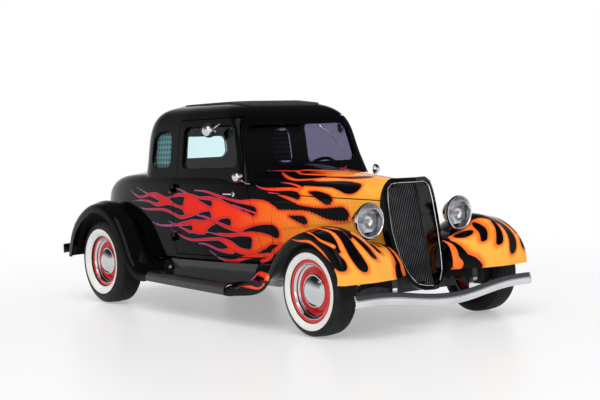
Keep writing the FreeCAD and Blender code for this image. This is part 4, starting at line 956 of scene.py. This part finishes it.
def onGrille(y, z, proud):
    hit = grilleFace.ray_cast(Vector((grille["rayFrom"], y, z)), -alongX)[0]
    return (hit or Vector((grille["plane"], y, z))) + Vector((proud, 0, 0))


bm = bmesh.new()
for i in range(-grille["bars"], grille["bars"] + 1):
    middle = i / (grille["bars"] + grille["barSpread"]) * grille["widest"]
    heights = [z for z in np.linspace(*grille["barEnds"], grille["levels"])
               if abs(middle) < grilleHalf(z) - grille["barInside"]]
    for vert in grid(bm, 1, len(heights) - 1):
        z = heights[round((vert.co.y + 0.5) * (len(heights) - 1))]
        vert.co = onGrille(middle + vert.co.x * grille["barWidth"], z, grille["proud"])
for wall in bmesh.ops.extrude_face_region(bm, geom=bm.faces[:])["geom"]:
    if isinstance(wall, bmesh.types.BMVert):
        wall.co.x -= grille["proud"] + grille["sunk"]
makePiece("grilleBars", bm, grilleBars, "chassis", 30)

bm = bmesh.new()
for z in grille["supports"]:
    across = np.linspace(-grilleHalf(z), grilleHalf(z), 15)
    swept(bm, [onGrille(y, z, grille["supportProud"]) for y in across], grille["supportRadius"], 6)
makePiece("grilleSupports", bm, grilleBlack, "chassis", 40)

bm = bmesh.new()
heights = np.linspace(*grille["edgeSides"], grille["levels"])
edgeSide = [(grilleHalf(z) - grille["edgeIn"], z) for z in heights]
leftHalf = [onGrille(y, z, grille["edgeProud"]) for y, z in grille["edgeFoot"] + edgeSide + grille["edgeTop"]]
swept(bm, mirrored(leftHalf, -1) + leftHalf[-2:0:-1], grille["edgeRadius"], 8)
makePiece("grilleEdge", bm, chrome, "chassis", 40)
print("grille made")

# The front bumper's blade, creased along its middle.
# Its section is (distance ahead of the CAD blade's face, height above its middle).
bumper = {"half": 0.809, "blade": 0.042, "start": 0.235, "lip": 0.009, "rayFrom": 2.5, "steps": 72,
          "thickness": 0.006,
          "section": [(-0.0158, 0.041), (-0.0146, 0.0385), (-0.0118, 0.031), (-0.008, 0.021),
                      (-0.0042, 0.011), (-0.0034, 0.007), (-0.004, 0.005), (-0.002, 0.003), (-0.0004, -0.005),
                      (-0.001, -0.018), (-0.005, -0.031), (-0.01, -0.039), (-0.0155, -0.041)]}
bumperFace = surfaceOf("front_bumper")


def bumperMiddle(y):
    # where the CAD blade's face and middle lie at this distance from the centre line
    front, z = None, bumper["start"]
    for _ in range(3):
        front = bumperFace.ray_cast(Vector((bumper["rayFrom"], y, z)), -alongX)[0] or front
        top = bumperFace.ray_cast(Vector((front.x - bumper["lip"], y, 1.0)), Vector((0, 0, -1)))[0]
        z = top.z - bumper["blade"] if top else z
    return front.x, z


bm = bmesh.new()
rows = len(bumper["section"]) - 1
middles = {}
for vert in grid(bm, bumper["steps"], rows):
    y = 2 * vert.co.x * bumper["half"]
    if y not in middles:
        middles[y] = bumperMiddle(y)
    back, up = bumper["section"][round((0.5 - vert.co.y) * rows)]
    vert.co = Vector((middles[y][0] + back, y, middles[y][1] + up))
blade = thicken(makePiece("frontBumperBlade", bm, bumperChrome, "chassis", 25), bumper["thickness"])
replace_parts(blade, "front_bumper")

# Fittings on the doors and body, each given for the left side.
doorHandle = {"at": (0.41, 0.612, 0.918),
              "rose": [(0.0, 0.021), (0.006, 0.021), (0.009, 0.016), (0.012, 0.009), (0.026, 0.008),
                       (0.03, 0.0)],
              "lever": [(0.414, 0.634, 0.918), (0.4, 0.64, 0.919), (0.36, 0.643, 0.92), (0.32, 0.64, 0.918),
                        (0.305, 0.636, 0.916)],
              "leverRadii": [0.006, 0.009, 0.008, 0.007, 0.004]}
mirrors = {
    "BeltMirror": {
        "at": (0.545, 0.662, 1.045), "steps": 40, "onDoor": False,
        "head": [(-0.034, 0.0), (-0.032, 0.012), (-0.025, 0.026), (-0.012, 0.037), (0.0, 0.041),
                 (0.005, 0.041), (0.006, 0.037), (0.004, 0.035), (0.004, 0.0)],
        "arm": [(0.56, 0.655, 1.035), (0.565, 0.64, 1.015), (0.565, 0.605, 0.995), (0.565, 0.575, 0.99)],
        "armRadii": [0.006, 0.006, 0.006, 0.01]},
    "DoorMirror": {
        "at": (0.165, 0.64, 1.392), "steps": 48, "onDoor": True,
        "head": [(-0.044, 0.0), (-0.041, 0.016), (-0.032, 0.034), (-0.016, 0.047), (0.0, 0.053),
                 (0.005, 0.053), (0.006, 0.048), (0.004, 0.046), (0.004, 0.0)],
        "arm": [(0.182, 0.632, 1.398), (0.2, 0.622, 1.405), (0.215, 0.6, 1.425), (0.215, 0.575, 1.437)],
        "armRadii": [0.006, 0.006, 0.006, 0.009]},
}
mirrorFacing = (-0.94, -0.34, 0.0)
doorCard = {"x": 0.085, "length": 0.68, "z": 0.8, "height": 0.54, "columns": 30, "rows": 12, "pleat": 0.068,
            "depth": 0.004, "clear": 0.004, "plane": 0.58, "thickness": 0.003}
tailLens = {"at": (-1.855, 0.712, 0.628),
            "profile": [(0.0, 0.041), (0.004, 0.041), (0.01, 0.036), (0.016, 0.022), (0.018, 0.0)]}
exhaustTip = {"at": (-1.862, 0.23064, 0.2695),
              "profile": [(0.0, 0.031), (-0.002, 0.034), (0.06, 0.034), (0.064, 0.032), (0.062, 0.029),
                          (0.0, 0.029), (0.0, 0.031)]}
windowScreen = {"x": -0.571, "length": 0.235, "z": 1.258, "height": 0.262, "cells": 8, "rayFrom": 2,
                "nearest": 0.3, "plane": 0.6, "inside": 0.022, "thickness": 0.0015}
cabGlassFace = surfaceOf("cab_glass")


def buildHandle(side, sign):
    bm = bmesh.new()
    spun(bm, doorHandle["rose"], mirrored([doorHandle["at"]], sign)[0], Vector((0, sign, 0)), 32)
    swept(bm, mirrored(doorHandle["lever"], sign), doorHandle["leverRadii"], 14)
    makePiece(f"{side}DoorHandle", bm, chrome, f"door_{side}", 40)


def buildMirror(side, sign, label):
    sizes = mirrors[label]
    bm = bmesh.new()
    facing = mirrored([mirrorFacing], sign)[0].normalized()
    spun(bm, sizes["head"], mirrored([sizes["at"]], sign)[0], facing, sizes["steps"])
    swept(bm, mirrored(sizes["arm"], sign), sizes["armRadii"], 12)
    makePiece(f"{side}{label}", bm, chrome, f"door_{side}" if sizes["onDoor"] else "chassis", 40)


def buildDoorCard(side, sign):
    bm = bmesh.new()
    door = surfaceOf(f"door_{side}")
    for vert in grid(bm, doorCard["columns"], doorCard["rows"]):
        x, z = doorCard["x"] + vert.co.x * doorCard["length"], doorCard["z"] + vert.co.y * doorCard["height"]
        hit = door.ray_cast(Vector((x, 0, z)), Vector((0, sign, 0)))[0]
        pleat = doorCard["depth"] * abs(math.sin(math.pi * x / doorCard["pleat"])) ** 0.5
        y = hit.y if hit else sign * doorCard["plane"]
        vert.co = Vector((x, y - sign * (doorCard["clear"] + pleat), z))
    thicken(makePiece(f"{side}DoorCard", bm, leather, f"door_{side}", 50), doorCard["thickness"], 0.0)


def buildWindowScreen(side, sign):
    bm = bmesh.new()
    for vert in grid(bm, windowScreen["cells"], windowScreen["cells"]):
        x = windowScreen["x"] + vert.co.x * windowScreen["length"]
        z = windowScreen["z"] + vert.co.y * windowScreen["height"]
        start = Vector((x, sign * windowScreen["rayFrom"], z))
        hit = cabGlassFace.ray_cast(start, Vector((0, -sign, 0)))[0]
        y = hit.y if hit and abs(hit.y) > windowScreen["nearest"] else sign * windowScreen["plane"]
        vert.co = Vector((x, y - sign * windowScreen["inside"], z))
    thicken(makePiece(f"{side}WindowScreen", bm, dotted, "chassis", 60), windowScreen["thickness"])


for side, sign in sides:
    buildHandle(side, sign)
    buildMirror(side, sign, "BeltMirror")
    buildMirror(side, sign, "DoorMirror")
    buildDoorCard(side, sign)
    for label, sizes, material, sharpAngle in (("TailLens", tailLens, redGlass, 40),
                                               ("ExhaustTip", exhaustTip, chrome, 30)):
        centre = mirrored([sizes["at"]], sign)[0]
        spunPiece(f"{side}{label}", sizes["profile"], centre, -alongX, 40, material, "chassis", sharpAngle)
    buildWindowScreen(side, sign)

# The wiper hangs from above the windscreen. Rows: (y, z, distance off the glass).
wiper = {"arm": [(0.2, 1.4, 0.045), (0.2, 1.4, 0.03), (0.27, 1.36, 0.022), (0.33, 1.31, 0.016)],
         "armRadii": [0.008, 0.005, 0.0035, 0.003],
         "blade": [(0.26, 1.39, 0.01), (0.33, 1.31, 0.01), (0.39, 1.235, 0.01)], "bladeRadius": 0.004,
         "rayFrom": 2.0, "plane": 0.4}


def onWindscreen(y, z, proud):
    hit = cabGlassFace.ray_cast(Vector((wiper["rayFrom"], y, z)), -alongX)[0]
    return (hit or Vector((wiper["plane"], y, z))) + Vector((proud, 0, 0))


bm = bmesh.new()
swept(bm, [onWindscreen(*row) for row in wiper["arm"]], wiper["armRadii"], 8)
swept(bm, [onWindscreen(*row) for row in wiper["blade"]], wiper["bladeRadius"], 8)
makePiece("wiper", bm, chrome, "chassis", 40)

# The bench seat's cushion and back, pleated on the face at the high end of faceAxis.
seat = {"half": 0.53, "cushion": ((-0.42, 0.455), (0.1, 0.66)), "back": ((-0.585, 0.46), (-0.4, 1.05)),
        "bevel": 0.035, "bevelSteps": 4, "pleat": 0.085, "depth": 0.012, "firstCut": 0.012, "cutPitch": 0.017,
        "pleatedFrom": 0.7, "fill": 0.8}


def pleatedPad(name, ends, faceAxis):
    low, high = (Vector((x, y, z)) for (x, z), y in zip(ends, (-seat["half"], seat["half"])))
    bm = bmesh.new()
    for vert in bmesh.ops.create_cube(bm, size=1.0)["verts"]:
        vert.co = low + Vector([(vert.co[i] + 0.5) * (high - low)[i] for i in range(3)])
    bmesh.ops.bevel(bm, geom=bm.edges[:], offset=seat["bevel"], offset_type="OFFSET", affect="EDGES",
                    segments=seat["bevelSteps"], profile=0.5, clamp_overlap=True, material=-1)
    for cut in np.arange(-seat["half"] + seat["firstCut"], seat["half"], seat["cutPitch"]):
        geom = bm.verts[:] + bm.edges[:] + bm.faces[:]
        bmesh.ops.bisect_plane(bm, geom=geom, plane_co=(0, cut, 0), plane_no=(0, 1, 0))
    for vert in bm.verts:
        groove = abs(math.sin(math.pi * vert.co.y / seat["pleat"])) ** 0.5
        reach = (vert.co[faceAxis] - low[faceAxis]) / (high[faceAxis] - low[faceAxis])
        if reach > seat["pleatedFrom"]:
            vert.co[faceAxis] -= seat["depth"] * (1 - groove)
    piece = makePiece(name, bm, leather, "chassis", 60)
    return piece


cushion = pleatedPad("seatCushion", seat["cushion"], 2)
pleatedPad("seatBack", seat["back"], 0)
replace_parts(cushion, "bench_seat")
print("fittings made")

# A white floor that grows brighter away from the car.
studio = {"floor": (0.93, 0.93, 0.93), "half": 60.0, "below": 0.001, "glowFrom": 2.2, "glowTo": 7.0,
          "nearGlow": 0.35, "world": 0.55, "ceiling": 0.12, "ceilingFrom": 0.12, "ceilingTo": 0.65}
floorMesh = bmesh.new()
bmesh.ops.create_grid(floorMesh, x_segments=1, y_segments=1, size=studio["half"])
floorShape = bpy.data.meshes.new("floor")
floorMesh.to_mesh(floorShape)
floorMesh.free()
floorWhite = startMaterial("floor white", studio["floor"], 0.3, Specular_IOR_Level=0.3)
glow = addNode(floorWhite, "Emission", {"Color": (1.0, 1.0, 1.0, 1.0), "Strength": 1.0})
away = addNode(floorWhite, "VectorMath", {0: objectPlace(floorWhite)}, operation="LENGTH").outputs["Value"]
whiter = stretched(floorWhite, away, studio["glowFrom"], studio["glowTo"], studio["nearGlow"], 1.0,
                   smooth=True)
glowing = reckoned(floorWhite, "MULTIPLY", whiter, watchedRays(floorWhite))
plain = floorWhite.node_tree.nodes["Principled BSDF"].outputs[0]
floorMix = addNode(floorWhite, "MixShader", {0: glowing, 1: plain, 2: glow.outputs[0]})
surface = floorWhite.node_tree.nodes["Material Output"].inputs["Surface"]
floorWhite.node_tree.links.new(floorMix.outputs[0], surface)
floorShape.materials.append(floorWhite)
floor = bpy.data.objects.new("floor", floorShape)
floor.location.z = -studio["below"]
link(floor)

# The world is white where it is looked at, with a darker ceiling, and dimmer as a light.
world = bpy.data.worlds.new("studio")
bpy.context.scene.world = world
world.use_nodes = True
height = alongAxis(world, "Z", addNode(world, "TexCoord").outputs["Generated"])
ceiling = stretched(world, height, studio["ceilingFrom"], studio["ceilingTo"], 1.0, studio["ceiling"])
strength = stretched(world, watchedRays(world), 0.0, 1.0, studio["world"], ceiling)
light = world.node_tree.nodes["Background"]
light.inputs["Color"].default_value = (1.0, 1.0, 1.0, 1.0)
world.node_tree.links.new(strength, light.inputs["Strength"])

suns = {"key": {"power": 1.5, "towards": (-0.35, 0.45, -1.0), "spread": 50.0},
        "fill": {"power": 0.6, "towards": (-0.8, 0.5, -0.5), "spread": 60.0}}
for name, values in suns.items():
    sun = bpy.data.objects.new(name, bpy.data.lights.new(name, "SUN"))
    sun.data.energy = values["power"]
    sun.data.angle = math.radians(values["spread"])
    sun.rotation_euler = Vector(values["towards"]).to_track_quat("-Z", "Y").to_euler()
    link(sun)

bpy.context.scene.view_settings.view_transform = "Standard"
bpy.context.view_layer.update()
print("scene done")
